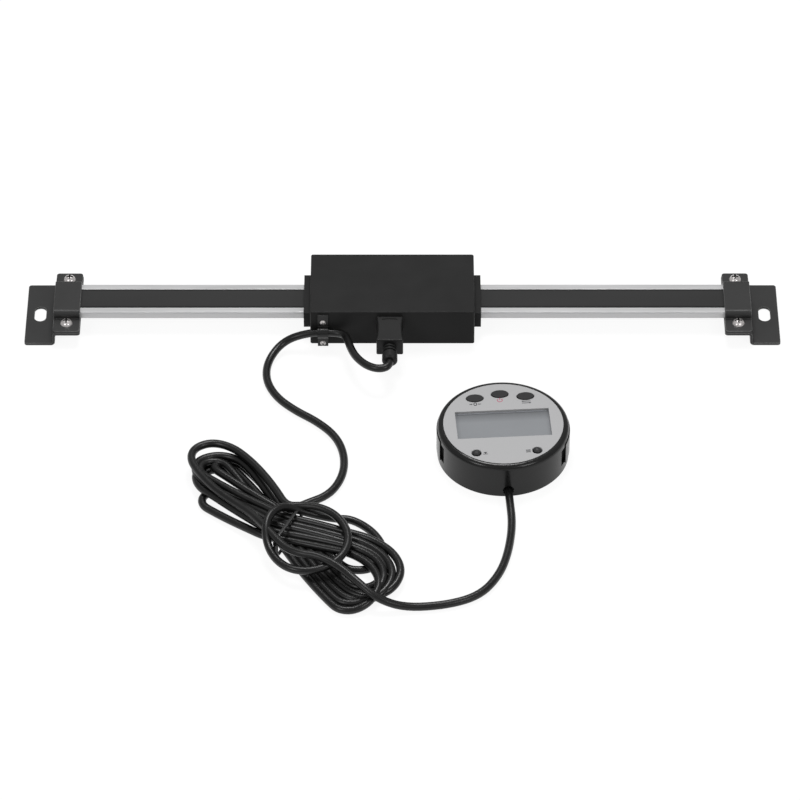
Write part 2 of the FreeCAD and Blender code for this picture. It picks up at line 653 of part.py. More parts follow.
def pad_places():
    """Centre and thickness of each glide pad in the guide's side walls."""
    inner = CHANNEL_WIDTH / 2 - PAD_PROUD
    return [
        (sx * PAD_PITCH / 2, sy * (inner + PAD_THICKNESS / 2), PAD_THICKNESS)
        for sx in (-1, 1) for sy in (-1, 1)
    ]


def glide_pads():
    low, high = RAIL_MIDDLE - PAD_HEIGHT / 2, RAIL_MIDDLE + PAD_HEIGHT / 2
    return grouped([at_head(block(PAD_LENGTH, thick, low, high, x, y)) for x, y, thick in pad_places()])


def rail_window(clearance, x_from, x_to):
    """Block that clears the rail, from one x to another."""
    low, high = SHELF_HEIGHT - clearance, FILM_TOP + clearance
    return block(x_to - x_from, RAIL_WIDTH + 2 * clearance, low, high, (x_from + x_to) / 2)


def cap_ends():
    """Along X: guide end, back of the spigot, outer face."""
    return GUIDE_LENGTH / 2, GUIDE_LENGTH / 2 + CAP_FLANGE, HEAD_LENGTH / 2 + CAP_REACH


def end_cap(side):
    root, shoulder, face = cap_ends()
    over = 2 * CAP_FLANGE
    flange = block(CAP_FLANGE, GUIDE_WIDTH + over, GUIDE_BOTTOM - CAP_FLANGE, GUIDE_TOP + CAP_FLANGE, (root + shoulder) / 2)
    cap = flange.fuse(block(face - shoulder, GUIDE_WIDTH, GUIDE_BOTTOM, GUIDE_TOP, (shoulder + face) / 2))
    cap = cap.cut(rail_window(CAP_CLEARANCE, root, face))
    cap = cap.cut(rail_window(RUN_CLEARANCE + WIPER_FRAME + FIT, face - WIPER_THICKNESS, face))
    if side < 0:
        cap.rotate(ORIGIN, UP, 180)
    return at_head(cap.removeSplitter())


def wipers():
    face = cap_ends()[2]
    felt = rail_window(RUN_CLEARANCE + WIPER_FRAME, face - WIPER_THICKNESS, face)
    felt = felt.cut(rail_window(RUN_CLEARANCE, face - WIPER_THICKNESS, face))
    other = felt.copy()
    other.rotate(ORIGIN, UP, 180)
    return grouped([at_head(felt), at_head(other)])


def sensor_board():
    board = block(SENSOR_LENGTH, SENSOR_DEPTH, SENSOR_BOTTOM, SENSOR_TOP)
    return at_head(board.fuse(block(CHIP_LENGTH, CHIP_DEPTH, SENSOR_TOP, SENSOR_TOP + CHIP_HEIGHT)))


def sensor_spring():
    """Bowed leaf that presses the sensor board down from the cover's roof."""
    low, high = SENSOR_TOP + LEAF_SHEET / 2, HEAD_ROOF - LEAF_SHEET / 2
    half, foot, crown = LEAF_SPAN / 2, LEAF_SPAN / 2 - LEAF_FOOT, LEAF_CROWN / 2
    path = [V(x, z, 0) for x, z in ((-half, low), (-foot, low), (-crown, high), (crown, high), (foot, low), (half, low))]
    leaf = stand_along_y(bent_sheet(path, LEAF_SHEET, [LEAF_BEND] * 4, LEAF_WIDTH))
    return at_head(moved(leaf, 0, LEAF_WIDTH / 2, 0))


# Connector and clip on the head's front

def facing_front(shape, x, y, z):
    """Places a shape drawn with its axis along +Z so that this axis points towards the readout."""
    turned = shape.copy()
    turned.rotate(ORIGIN, V(1, 0, 0), 90)
    return moved(turned, x, y, z)


def connector_socket():
    width, height = SHELL_WIDTH + 2 * PLUG_GAP, SHELL_THICKNESS + 2 * PLUG_GAP
    outer = block(width + 2 * SOCKET_WALL, height + 2 * SOCKET_WALL, 0, SOCKET_DEPTH)
    socket = outer.cut(block(width, height, SOCKET_WALL, SOCKET_DEPTH))
    return facing_front(socket, PLUG_X, HEAD_FRONT + HEAD_WALL + SOCKET_DEPTH, PLUG_Z)


def plug_shell():
    """Drawn metal tongue, closed at its nose."""
    shell = block(SHELL_WIDTH, SHELL_THICKNESS, 0, SHELL_REACH + PLUG_GAP, corner=PLUG_EDGE)
    return facing_front(shell, PLUG_X, PLUG_NOSE + SHELL_REACH + PLUG_GAP, PLUG_Z)


def plug_body():
    """Moulded grip with hollow flanks and a curved groove across its top."""
    nose, waist, tail = PLUG_NOSE_WIDTH / 2, PLUG_WAIST_WIDTH / 2, PLUG_TAIL_WIDTH / 2
    right = Part.Arc(V(nose, 0, 0), V(waist, -PLUG_LENGTH / 2, 0), V(tail, -PLUG_LENGTH, 0)).toShape()
    left = Part.Arc(V(-tail, -PLUG_LENGTH, 0), V(-waist, -PLUG_LENGTH / 2, 0), V(-nose, 0, 0)).toShape()
    back = Part.LineSegment(V(tail, -PLUG_LENGTH, 0), V(-tail, -PLUG_LENGTH, 0)).toShape()
    front = Part.LineSegment(V(-nose, 0, 0), V(nose, 0, 0)).toShape()
    grip = Part.Face(Part.Wire([right, back, left, front])).extrude(UP * PLUG_THICKNESS)
    grip = grip.makeFillet(PLUG_EDGE, grip.Edges)
    groove = disc(PLUG_GROOVE_RADIUS + PLUG_GROOVE_WIDTH / 2, PLUG_THICKNESS - PLUG_GROOVE_DEPTH, PLUG_THICKNESS)
    groove = groove.cut(disc(PLUG_GROOVE_RADIUS - PLUG_GROOVE_WIDTH / 2, 0, PLUG_THICKNESS))
    reach = 2 * PLUG_GROOVE_RADIUS * math.sin(math.radians(PLUG_GROOVE_SWEEP / 2))
    groove = groove.common(block(reach, PLUG_GROOVE_RADIUS, 0, PLUG_THICKNESS, y=PLUG_GROOVE_RADIUS))
    grip = grip.cut(moved(groove, 0, -PLUG_GROOVE_SETBACK - PLUG_GROOVE_RADIUS, 0))
    return moved(grip, PLUG_X, PLUG_NOSE, PLUG_Z - PLUG_THICKNESS / 2)


def strain_relief():
    """Ribbed sleeve and collar behind the plug."""
    profile = [V(0, 0, 0)]
    for ring in range(RELIEF_RINGS):
        start = ring * RELIEF_RING_PITCH
        middle = start + RELIEF_RING_PITCH / 2
        end = start + RELIEF_RING_PITCH
        profile += [V(RELIEF_GROOVE_DIA / 2, 0, start), V(RELIEF_GROOVE_DIA / 2, 0, middle)]
        profile += [V(RELIEF_RING_DIA / 2, 0, middle), V(RELIEF_RING_DIA / 2, 0, end)]
    collar = RELIEF_COLLAR_DIA / 2
    profile += [V(collar, 0, end), V(collar, 0, RELIEF_LENGTH - RELIEF_EDGE)]
    profile += [V(collar - RELIEF_EDGE, 0, RELIEF_LENGTH), V(0, 0, RELIEF_LENGTH), V(0, 0, 0)]
    sleeve = Part.Face(Part.makePolygon(profile)).revolve(ORIGIN, UP, 360)
    return facing_front(sleeve, PLUG_X, PLUG_TAIL, PLUG_Z)


def cable_clip():
    """Folded strap screwed to the head's front, with a hump over the cable."""
    middle = CLIP_SHEET / 2
    flat = HEAD_FRONT - middle
    hump = CABLE_Y - CABLE_DIA / 2 - FIT - middle
    half = CABLE_DIA / 2 + FIT + middle
    places = (
        (flat, HEAD_TOP - CLIP_TOP_GAP), (flat, CABLE_HEIGHT + half), (hump, CABLE_HEIGHT + half),
        (hump, CABLE_HEIGHT - half), (flat, CABLE_HEIGHT - half), (flat, HEAD_CLEAR - CLIP_FOOT),
    )
    round_bend = CABLE_DIA / 2
    bends = [CLIP_BEND, round_bend, round_bend, CLIP_BEND]
    strap = stand_along_x(bent_sheet([V(y, z, 0) for y, z in places], CLIP_SHEET, bends, CLIP_WIDTH))
    strap = moved(strap, CLIP_X - CLIP_WIDTH / 2, 0, 0)
    for z in clip_screw_heights():
        hole = Part.makeCylinder(CLIP_SCREW_DIA / 2 + SCREW_CLEARANCE, CLIP_SHEET, V(CLIP_X, HEAD_FRONT, z), V(0, -1, 0))
        strap = strap.cut(hole)
    return strap


def clip_screws():
    screw = pan_screw(CLIP_SCREW_DIA, CLIP_SCREW_LENGTH, CLIP_SCREW_HEAD, CLIP_SCREW_HEAD_HEIGHT)
    return grouped([facing_front(screw, CLIP_X, HEAD_FRONT - CLIP_SHEET, z) for z in clip_screw_heights()])


# Cable

def from_rail(route):
    return [V(x, RAIL_Y + y, z) for x, y, z in route]


def cord_tube(name, points):
    """Tube of straight runs and tangent arcs, each arc as large as its two runs allow."""
    radii = [0]
    for i in range(1, len(points) - 1):
        before, after = points[i] - points[i - 1], points[i + 1] - points[i]
        turn = before.getAngle(after)
        radii.append(0.45 * min(before.Length, after.Length) / math.tan(turn / 2))
    radii.append(0)
    path = Part.Wire(rounded_edges(points, radii))
    section = Part.Wire(Part.makeCircle(CABLE_DIA / 2, points[0], points[1] - points[0]))
    tube = path.makePipeShell([section], True, False)
    expected = path.Length * math.pi * CABLE_DIA ** 2 / 4
    print(name, "length %.1f" % path.Length, "volume ratio %.4f" % (tube.Volume / expected))
    print(name, "radii", [round(radius, 1) for radius in radii[1:-1]])
    return tube


def at_hank(shape):
    turned = shape.copy()
    turned.rotate(ORIGIN, UP, HANK_TURN)
    return moved(turned, HANK_X, RAIL_Y - HANK_SETBACK, 0)


def hank_block():
    points = [V(u, v, 0) for u, v, radius in HANK_OUTLINE]
    hank = prism(points, [radius for u, v, radius in HANK_OUTLINE], HANK_HEIGHT)
    top_edges = [edge for edge in hank.Edges if abs(edge.BoundBox.ZMin - HANK_HEIGHT) < 1e-6]
    return hank.makeFillet(HANK_EDGE, top_edges)


def tie_ring(clearance):
    """Band aslant round the hank's waist, grown by a clearance on every side."""
    width = TIE_WIDTH + 2 * clearance
    pivot = V(TIE_PLACE, 0, 0)
    hank = hank_block()
    hank.rotate(pivot, UP, -TIE_SLANT)
    slice_of_hank = hank.common(block(width, 10 * HANK_HEIGHT, 0, HANK_HEIGHT, x=TIE_PLACE))
    box = slice_of_hank.BoundBox
    depth, middle = box.YLength, box.Center.y
    reach = 2 * (TIE_CLEARANCE + TIE_THICKNESS + clearance)
    inside = 2 * (TIE_CLEARANCE - clearance)
    bottom = TIE_CLEARANCE - clearance
    floor = TIE_CLEARANCE + TIE_THICKNESS + clearance
    roof = HANK_HEIGHT + TIE_CLEARANCE - clearance
    top = HANK_HEIGHT + TIE_CLEARANCE + TIE_THICKNESS + clearance
    ring = block(width, depth + reach, bottom, top, TIE_PLACE, middle)
    ring = ring.cut(block(width, depth + inside, floor, roof, TIE_PLACE, middle))
    ring.rotate(pivot, UP, TIE_SLANT)
    return ring


def cable_hank():
    """Outer shape of the tied turns, with the loose loop on top and a groove for the tie."""
    loop = Part.makeTorus(LOOP_RADIUS, CABLE_DIA / 2, LOOP_PLACE + UP * (HANK_HEIGHT + CABLE_DIA / 2 - LOOP_SINK))
    return at_hank(hank_block().fuse(loop).cut(tie_ring(TIE_CLEARANCE)))


def hank_tie():
    return at_hank(tie_ring(0.0))


def cable_lead():
    exit_point = V(PLUG_X, RELIEF_END, PLUG_Z)
    run_end = exit_point - V(0, RELIEF_RUN, 0)
    tube = cord_tube("cable_lead", [exit_point, run_end] + from_rail(LEAD_ROUTE))
    return tube.cut(at_hank(hank_block()))


def cable_tail():
    gland_point = at_readout_point(0, -GLAND_FACE, GLAND_HEIGHT)
    run_start = at_readout_point(0, -GLAND_FACE - GLAND_RUN, GLAND_HEIGHT)
    tube = cord_tube("cable_tail", from_rail(TAIL_ROUTE) + [run_start, gland_point])
    return tube.cut(at_hank(hank_block()))


# Readout, drawn round its own axis with the cable hole towards -Y

def at_readout(shape):
    turned = shape.copy()
    turned.rotate(ORIGIN, UP, READOUT_TURN)
    return moved(turned, READOUT_X, READOUT_Y, 0)


def at_readout_point(x, y, z):
    turn = FreeCAD.Rotation(UP, READOUT_TURN)
    return turn.multVec(V(x, y, z)) + V(READOUT_X, READOUT_Y, 0)


def oval(length, depth, bottom, top, place):
    ellipse = Part.Ellipse(V(0, 0, bottom), length / 2, depth / 2).toShape()
    column = Part.Face(Part.Wire(ellipse)).extrude(UP * (top - bottom))
    return moved(column, place.x, place.y, 0)


def button_column(kind, place, growth, bottom, top):
    """A button's outline, grown on every side and raised from bottom to top."""
    if kind == "oval":
        return oval(OVAL_LENGTH + 2 * growth, OVAL_DEPTH + 2 * growth, bottom, top, place)
    return disc(DOME_DIA / 2 + growth, bottom, top, place.x, place.y)


def cut_button_holes(shape, bottom, top):
    for kind, place in BUTTONS.values():
        gap = BUTTON_GAP if kind == "oval" else DOME_GAP
        shape = shape.cut(button_column(kind, place, gap, bottom, top))
    return shape


def sector(inner, outer, bottom, top, start, sweep):
    """Part of a ring, from a start angle in plan and through a sweep."""
    corners = [V(inner, 0, bottom), V(outer, 0, bottom), V(outer, 0, top), V(inner, 0, top), V(inner, 0, bottom)]
    ring = Part.Face(Part.makePolygon(corners)).revolve(ORIGIN, UP, sweep)
    ring.rotate(ORIGIN, UP, start)
    return ring


def display_case():
    case = disc(CASE_RADIUS, 0, CASE_HEIGHT)
    rim = [edge for edge in case.Edges if edge.BoundBox.ZMin > CASE_HEIGHT - 1e-6]
    case = case.makeFillet(CASE_EDGE, rim)
    pad_bottom = SIDE_SLOT_BOTTOM - SIDE_PAD_MARGIN
    pad_top = SIDE_SLOT_BOTTOM + SIDE_SLOT_HEIGHT + SIDE_PAD_MARGIN
    half_slot = math.degrees(SIDE_SLOT_WIDTH / 2 / CASE_RADIUS)
    for angle in SIDE_SLOT_ANGLES:
        start = angle + half_slot if angle > 0 else angle - half_slot - SIDE_PAD_SWEEP
        outside = CASE_RADIUS + SIDE_PAD_PROUD
        case = case.fuse(sector(CASE_RADIUS - CASE_WALL, outside, pad_bottom, pad_top, start - 90, SIDE_PAD_SWEEP))
    case = case.cut(disc(FACE_RADIUS + FIT, ROOF_TOP, CASE_HEIGHT))
    case = case.cut(disc(CAVITY_RADIUS, 0, ROOF_BOTTOM))
    grown = 2 * (LCD_MARGIN + FIT)
    case = case.cut(block(WINDOW_LENGTH + grown, WINDOW_DEPTH + grown, ROOF_BOTTOM, ROOF_TOP))
    case = cut_button_holes(case, ROOF_BOTTOM, ROOF_TOP)
    for post in POSTS:
        case = case.fuse(disc(POST_DIA / 2, BACK_THICKNESS, ROOF_BOTTOM, post.x, post.y))
    for post in POSTS:
        hole = SMALL_SCREW_DIA / 2 + SCREW_CLEARANCE
        case = case.cut(disc(hole, BACK_THICKNESS, BASE_SCREW_LENGTH, post.x, post.y))
    for angle in SIDE_SLOT_ANGLES:
        slot = block(SIDE_SLOT_WIDTH, 2 * SIDE_SLOT_DEPTH, SIDE_SLOT_BOTTOM, SIDE_SLOT_BOTTOM + SIDE_SLOT_HEIGHT)
        slot.translate(V(0, -CASE_RADIUS, 0))
        slot.rotate(ORIGIN, UP, angle)
        case = case.cut(slot)
    hole = Part.makeCylinder(GLAND_HOLE_DIA / 2, 2 * CASE_WALL, V(0, -CASE_RADIUS - CASE_WALL / 2, GLAND_HEIGHT), V(0, 1, 0))
    return at_readout(case.cut(hole).removeSplitter())


def display_faceplate():
    plate = disc(FACE_RADIUS, ROOF_TOP, CASE_HEIGHT)
    plate = plate.cut(block(WINDOW_LENGTH, WINDOW_DEPTH, ROOF_TOP, CASE_HEIGHT))
    plate = cut_button_holes(plate, ROOF_TOP, CASE_HEIGHT)
    hole = DOME_DIA / 2 + DOME_GAP
    for kind, place in BUTTONS.values():
        if kind == "round":
            bottom = V(place.x, place.y, CASE_HEIGHT - DOME_HOLE_CHAMFER)
            plate = plate.cut(Part.makeCone(hole, hole + DOME_HOLE_CHAMFER, DOME_HOLE_CHAMFER, bottom))
    return at_readout(plate)


def lcd_window():
    grown = 2 * LCD_MARGIN
    return at_readout(block(WINDOW_LENGTH + grown, WINDOW_DEPTH + grown, LCD_TOP, ROOF_TOP))


def lcd_panel():
    grown = 2 * LCD_MARGIN
    return at_readout(block(WINDOW_LENGTH + grown, WINDOW_DEPTH + grown, LCD_BOTTOM, LCD_TOP))


def lcd_contacts():
    """Rubber contact strips between the panel's two long edges and the board."""
    y = WINDOW_DEPTH / 2 + LCD_MARGIN - CONTACT_STRIP_WIDTH / 2
    strips = [block(WINDOW_LENGTH, CONTACT_STRIP_WIDTH, BOARD_TOP, LCD_BOTTOM, y=sy * y) for sy in (-1, 1)]
    return grouped([at_readout(strip) for strip in strips])


def display_board():
    board = disc(CAVITY_RADIUS - MAIN_BOARD_GAP, BOARD_BOTTOM, BOARD_TOP)
    for post in POSTS:
        board = board.cut(disc(POST_DIA / 2 + FIT, BOARD_BOTTOM, BOARD_TOP, post.x, post.y))
    return at_readout(board)


def button_switches():
    return grouped([
        at_readout(block(SWITCH_SIZE, SWITCH_SIZE, BOARD_TOP, SWITCH_TOP, place.x, place.y))
        for kind, place in BUTTONS.values()
    ])


def button(kind, place):
    """Key with a flange under the roof and a stem above its switch."""
    flange_top = ROOF_BOTTOM - BUTTON_REST_GAP
    flange_bottom = flange_top - BUTTON_FLANGE_HEIGHT
    if kind == "oval":
        key = button_column(kind, place, 0, flange_bottom, CASE_HEIGHT + OVAL_PROUD)
    else:
        shoulder = CASE_HEIGHT + DOME_LAND
        rise = DOME_PROUD - DOME_LAND
        radius = ((DOME_DIA / 2) ** 2 + rise ** 2) / (2 * rise)
        ball = Part.makeSphere(radius, V(place.x, place.y, shoulder + rise - radius))
        dome = ball.common(button_column(kind, place, 0, shoulder, shoulder + rise))
        key = button_column(kind, place, 0, flange_bottom, shoulder).fuse(dome)
    key = key.fuse(button_column(kind, place, BUTTON_FLANGE, flange_bottom, flange_top))
    key = key.fuse(disc(DOME_DIA / 4, STEM_BOTTOM, flange_bottom, place.x, place.y))
    return at_readout(key.removeSplitter())


def back_cover():
    """Screwed-on back with the coin cell's well and the notches that let the door's lugs in."""
    cover = disc(CAVITY_RADIUS - FIT, 0, BACK_THICKNESS)
    well = disc(WELL_RADIUS + WELL_WALL, BACK_THICKNESS, CELL_TOP).cut(disc(WELL_RADIUS, BACK_THICKNESS, CELL_TOP))
    cover = cover.fuse(well).cut(disc(DOOR_RADIUS + DOOR_GAP, 0, BACK_THICKNESS))
    margin = math.degrees(DOOR_GAP / LUG_RADIUS)
    for start in (-DOOR_TURN, 180 - DOOR_TURN):
        notch = sector(DOOR_RADIUS, LUG_RADIUS + DOOR_GAP, 0, BACK_THICKNESS, start - margin, DOOR_LUG_SWEEP + 2 * margin)
        cover = cover.cut(notch)
    hole = flat_screw_hole(SMALL_SCREW_DIA, BASE_SCREW_LENGTH, SMALL_SCREW_HEAD)
    for post in POSTS:
        cover = cover.cut(moved(hole, post.x, post.y, 0))
    relief = GLAND_HOLE_DIA + 2 * FIT
    cover = cover.cut(block(relief, 2 * GLAND_LENGTH, 0, BACK_THICKNESS, y=-GLAND_FACE + FIT))
    return at_readout(cover)


def back_screws():
    screw = flat_screw(SMALL_SCREW_DIA, BASE_SCREW_LENGTH, SMALL_SCREW_HEAD)
    return grouped([at_readout(moved(screw, post.x, post.y, 0)) for post in POSTS])


def battery_door():
    """Turn-to-lock disc with two lugs over the back cover and a coin slot."""
    door = disc(DOOR_RADIUS, DOOR_RECESS, DOOR_TOP)
    for start in (0, 180):
        door = door.fuse(sector(DOOR_RADIUS / 2, LUG_RADIUS, LUG_BOTTOM, DOOR_TOP, start, DOOR_LUG_SWEEP))
    slot = block(COIN_SLOT_LENGTH, COIN_SLOT_WIDTH, DOOR_RECESS, DOOR_RECESS + COIN_SLOT_DEPTH)
    return at_readout(door.cut(slot).removeSplitter())


def coin_cell():
    return at_readout(disc(CELL_DIA / 2, CELL_BOTTOM, CELL_TOP))


def cell_contacts():
    """Two leaf contacts from the board down to the cell."""
    high, low = BOARD_BOTTOM - LEAF_SHEET / 2, CELL_TOP + LEAF_SHEET / 2
    reach, foot = CELL_CONTACT_LENGTH / 2, CELL_CONTACT_LENGTH / 6
    path = [V(x, z, 0) for x, z in ((-reach, high), (-foot, high), (foot, low), (reach, low))]
    leaf = stand_along_y(bent_sheet(path, LEAF_SHEET, [LEAF_SHEET] * 2, CELL_CONTACT_WIDTH))
    middle = CELL_CONTACT_WIDTH / 2
    return grouped([at_readout(moved(leaf, 0, middle + sy * CELL_CONTACT_PITCH / 2, 0)) for sy in (-1, 1)])


def cable_gland():
    bush = Part.makeCylinder(
        GLAND_HOLE_DIA / 2 - FIT, GLAND_LENGTH, V(0, -GLAND_FACE, GLAND_HEIGHT), V(0, 1, 0)
    )
    return at_readout(bush)


def pieces():
    """Every piece by its node's name."""
    parts = {
        "rail_extrusion": rail_extrusion(),
        "scale_board": scale_board(),
        "cover_film": cover_film(),
        "strap_screws": strap_screws(),
        "head_cover": head_cover(),
        "head_base": head_base(),
        "base_screws": base_screws(),
        "guide_body": guide_body(),
        "guide_keeper": guide_keeper(),
        "keeper_screws": keeper_screws(),
        "glide_pads": glide_pads(),
        "wipers": wipers(),
        "sensor_board": sensor_board(),
        "sensor_spring": sensor_spring(),
        "connector_socket": connector_socket(),
        "plug_shell": plug_shell(),
        "plug_body": plug_body(),
        "strain_relief": strain_relief(),
        "cable_clip": cable_clip(),
        "clip_screws": clip_screws(),
        "cable_lead": cable_lead(),
        "cable_hank": cable_hank(),
        "hank_tie": hank_tie(),
        "cable_tail": cable_tail(),
        "display_case": display_case(),
        "display_faceplate": display_faceplate(),
        "lcd_window": lcd_window(),
        "lcd_panel": lcd_panel(),
        "lcd_contacts": lcd_contacts(),
        "display_board": display_board(),
        "button_switches": button_switches(),
        "back_cover": back_cover(),
        "back_screws": back_screws(),
        "battery_door": battery_door(),
        "coin_cell": coin_cell(),
        "cell_contacts": cell_contacts(),
        "cable_gland": cable_gland(),
    }
    for side, name in ((-1, "left"), (1, "right")):
        parts[name + "_bracket"] = end_bracket(side)
        parts[name + "_strap"] = clamp_strap(side)
        parts[name + "_end_cap"] = end_cap(side)
    for name, (kind, place) in BUTTONS.items():
        parts[name] = button(kind, place)
    return parts


os.makedirs("parts", exist_ok=True)
for node, shape in pieces().items():
    shape.exportStep(os.path.join("parts", node + ".step"))
    print(node, "solids", len(shape.Solids), "volume %.1f" % shape.Volume, "valid", shape.isValid())
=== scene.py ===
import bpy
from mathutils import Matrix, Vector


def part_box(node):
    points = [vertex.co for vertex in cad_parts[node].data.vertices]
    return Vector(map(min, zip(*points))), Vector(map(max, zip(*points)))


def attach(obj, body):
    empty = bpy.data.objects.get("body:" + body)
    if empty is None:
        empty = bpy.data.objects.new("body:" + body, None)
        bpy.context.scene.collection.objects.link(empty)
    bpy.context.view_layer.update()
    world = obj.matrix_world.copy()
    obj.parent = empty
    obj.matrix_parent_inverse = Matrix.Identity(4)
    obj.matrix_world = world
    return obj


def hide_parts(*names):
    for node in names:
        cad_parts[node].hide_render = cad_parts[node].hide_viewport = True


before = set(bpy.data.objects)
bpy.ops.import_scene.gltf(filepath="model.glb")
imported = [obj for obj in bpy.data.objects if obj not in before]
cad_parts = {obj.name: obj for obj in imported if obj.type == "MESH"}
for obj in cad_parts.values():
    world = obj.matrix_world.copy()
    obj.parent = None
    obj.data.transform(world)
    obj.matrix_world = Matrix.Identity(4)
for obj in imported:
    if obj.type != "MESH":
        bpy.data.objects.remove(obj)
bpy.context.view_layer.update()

import math
from collections import namedtuple

import bpy
from bpy.props import FloatProperty, FloatVectorProperty, PointerProperty
from mathutils import Matrix, Vector

bl_info = {
    "name": "Digital linear scale",
    "version": (1, 0, 0),
    "blender": (4, 5, 0),
    "location": "View3D > Sidebar > Linear Scale",
    "description": "Dresses the packed linear scale: finishes, cable with its tied hank, "
                   "key marks, light and camera",
    "category": "Object",
}

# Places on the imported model, in metres

ORIGIN = (0.0, 0.0, 0.0)
RAIL_LOW, RAIL_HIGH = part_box("rail_extrusion")
RAIL_Y = (RAIL_LOW.y + RAIL_HIGH.y) / 2
FACE_LOW, FACE_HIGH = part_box("display_faceplate")
READOUT_AXIS = (FACE_LOW + FACE_HIGH) / 2
READOUT_TURN = math.radians(3.9)


# Settings

class ScaleFinishSettings(bpy.types.PropertyGroup):
    """Colours of the scale's finishes"""
    aluminium: FloatVectorProperty(
        name="Aluminium", description="Colour of the extruded rail", subtype="COLOR",
        default=(0.575, 0.575, 0.58))
    film: FloatVectorProperty(
        name="Cover film", description="Colour of the film over the scale", subtype="COLOR",
        default=(0.023, 0.023, 0.023))
    enamel: FloatVectorProperty(
        name="Bracket enamel", description="Colour of the painted brackets and straps",
        subtype="COLOR", default=(0.019, 0.019, 0.019))
    head: FloatVectorProperty(
        name="Head", description="Colour of the reading head's cover", subtype="COLOR",
        default=(0.019, 0.019, 0.019))
    rubber: FloatVectorProperty(
        name="Plug rubber", description="Colour of the plug and its strain relief",
        subtype="COLOR", default=(0.015, 0.015, 0.015))
    cable: FloatVectorProperty(
        name="Cable", description="Colour of the cable's jacket", subtype="COLOR",
        default=(0.006, 0.006, 0.006))
    case: FloatVectorProperty(
        name="Readout case", description="Colour of the readout's case", subtype="COLOR",
        default=(0.012, 0.012, 0.012))
    faceplate: FloatVectorProperty(
        name="Faceplate", description="Colour of the readout's silver faceplate",
        subtype="COLOR", default=(0.435, 0.435, 0.44))
    lcd: FloatVectorProperty(
        name="Display", description="Colour of the blank liquid crystal panel",
        subtype="COLOR", default=(0.30, 0.312, 0.328))
    key: FloatVectorProperty(
        name="Keys", description="Colour of the readout's keys", subtype="COLOR",
        default=(0.022, 0.022, 0.023))
    steel: FloatVectorProperty(
        name="Screw steel", description="Colour of the nickel-plated screws", subtype="COLOR",
        default=(0.74, 0.71, 0.70))
    ink: FloatVectorProperty(
        name="Key marks", description="Colour of the printed marks beside the keys",
        subtype="COLOR", default=(0.035, 0.035, 0.04))
    power_ink: FloatVectorProperty(
        name="Power mark", description="Colour of the printed mark beside the power key",
        subtype="COLOR", default=(0.46, 0.11, 0.17))


class ScaleCableSettings(bpy.types.PropertyGroup):
    """Size and place of the cable and its hank"""
    diameter: FloatProperty(
        name="Diameter", description="Outside diameter of the cable", default=0.0038,
        unit="LENGTH")
    length: FloatProperty(
        name="Length", description="Length of the cable from the plug to the readout",
        default=2.2, unit="LENGTH")
    hank_place: FloatVectorProperty(
        name="Hank place", description="Middle of the hank, from the rail's axis",
        subtype="TRANSLATION", default=(-0.0545, -0.152, 0.0))
    hank_turn: FloatProperty(
        name="Hank turn", description="Direction of the hank in plan", subtype="ANGLE",
        default=math.radians(-45.0))


class ScaleStageSettings(bpy.types.PropertyGroup):
    """Floor, light and camera"""
    floor_colour: FloatVectorProperty(
        name="Floor", description="Colour of the floor", subtype="COLOR",
        default=(0.14, 0.14, 0.14))
    floor_white: FloatProperty(
        name="Floor white", description="Share of white that the floor shows by itself",
        subtype="FACTOR", default=0.9)
    sky: FloatProperty(
        name="Sky", description="Strength of the even light from all round",
        subtype="FACTOR", default=0.38)
    lamp_power: FloatProperty(
        name="Lamp power", description="Power that the soft boxes take their shares of",
        default=9.0, unit="POWER")
    lens: FloatProperty(
        name="Lens", description="Focal length of the camera in millimetres",
        default=227.853, unit="CAMERA")


# Selecting and finishing pieces

SMOOTH_ANGLE = math.radians(40.0)


def start_clean():
    """Leaves edit mode and deselects everything."""
    if bpy.context.object is not None and bpy.context.object.mode != "OBJECT":
        bpy.ops.object.mode_set(mode="OBJECT")
    bpy.ops.object.select_all(action="DESELECT")


def settle(piece):
    """Moves a piece's place into its mesh, so that its object sits at the origin."""
    start_clean()
    piece.select_set(True)
    bpy.context.view_layer.objects.active = piece
    bpy.ops.object.transform_apply(location=True, rotation=True, scale=True)


def select_points(piece, test):
    """Selects the points of a piece in edit mode whose place passes a test."""
    bpy.ops.object.mode_set(mode="OBJECT")
    for group in (piece.data.polygons, piece.data.edges):
        for part in group:
            part.select = False
    for point in piece.data.vertices:
        point.select = test(point.co)
    bpy.ops.object.mode_set(mode="EDIT")


def flat_plate(length, width):
    """Starts a piece from a flat plate, left in edit mode and selected all over."""
    start_clean()
    bpy.ops.mesh.primitive_plane_add(size=1.0)
    bpy.ops.object.mode_set(mode="EDIT")
    bpy.ops.mesh.select_all(action="SELECT")
    bpy.ops.transform.resize(value=(length, width, 1.0), center_override=ORIGIN)
    return bpy.context.object


def apply_modifier(piece, kind, **values):
    """Adds a modifier to the active piece and applies it."""
    modifier = piece.modifiers.new(kind.title(), kind)
    for name, value in values.items():
        setattr(modifier, name, value)
    bpy.ops.object.modifier_apply(modifier=modifier.name)


def rides_on(piece, body):
    """Ties a new piece to a body."""
    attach(piece, body)


def finish_piece(piece, material):
    """Settles a new piece of the head's body, turns its faces outwards and dresses it."""
    settle(piece)
    bpy.ops.object.mode_set(mode="EDIT")
    bpy.ops.mesh.select_all(action="SELECT")
    bpy.ops.mesh.normals_make_consistent(inside=False)
    bpy.ops.object.mode_set(mode="OBJECT")
    bpy.ops.object.shade_smooth_by_angle(angle=SMOOTH_ANGLE)
    piece.data.materials.append(material)
    rides_on(piece, "head")


def dress(material, *nodes):
    """Gives CAD nodes one finish all over."""
    for node in nodes:
        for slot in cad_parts[node].material_slots:
            slot.material = material


# Building blocks of the materials

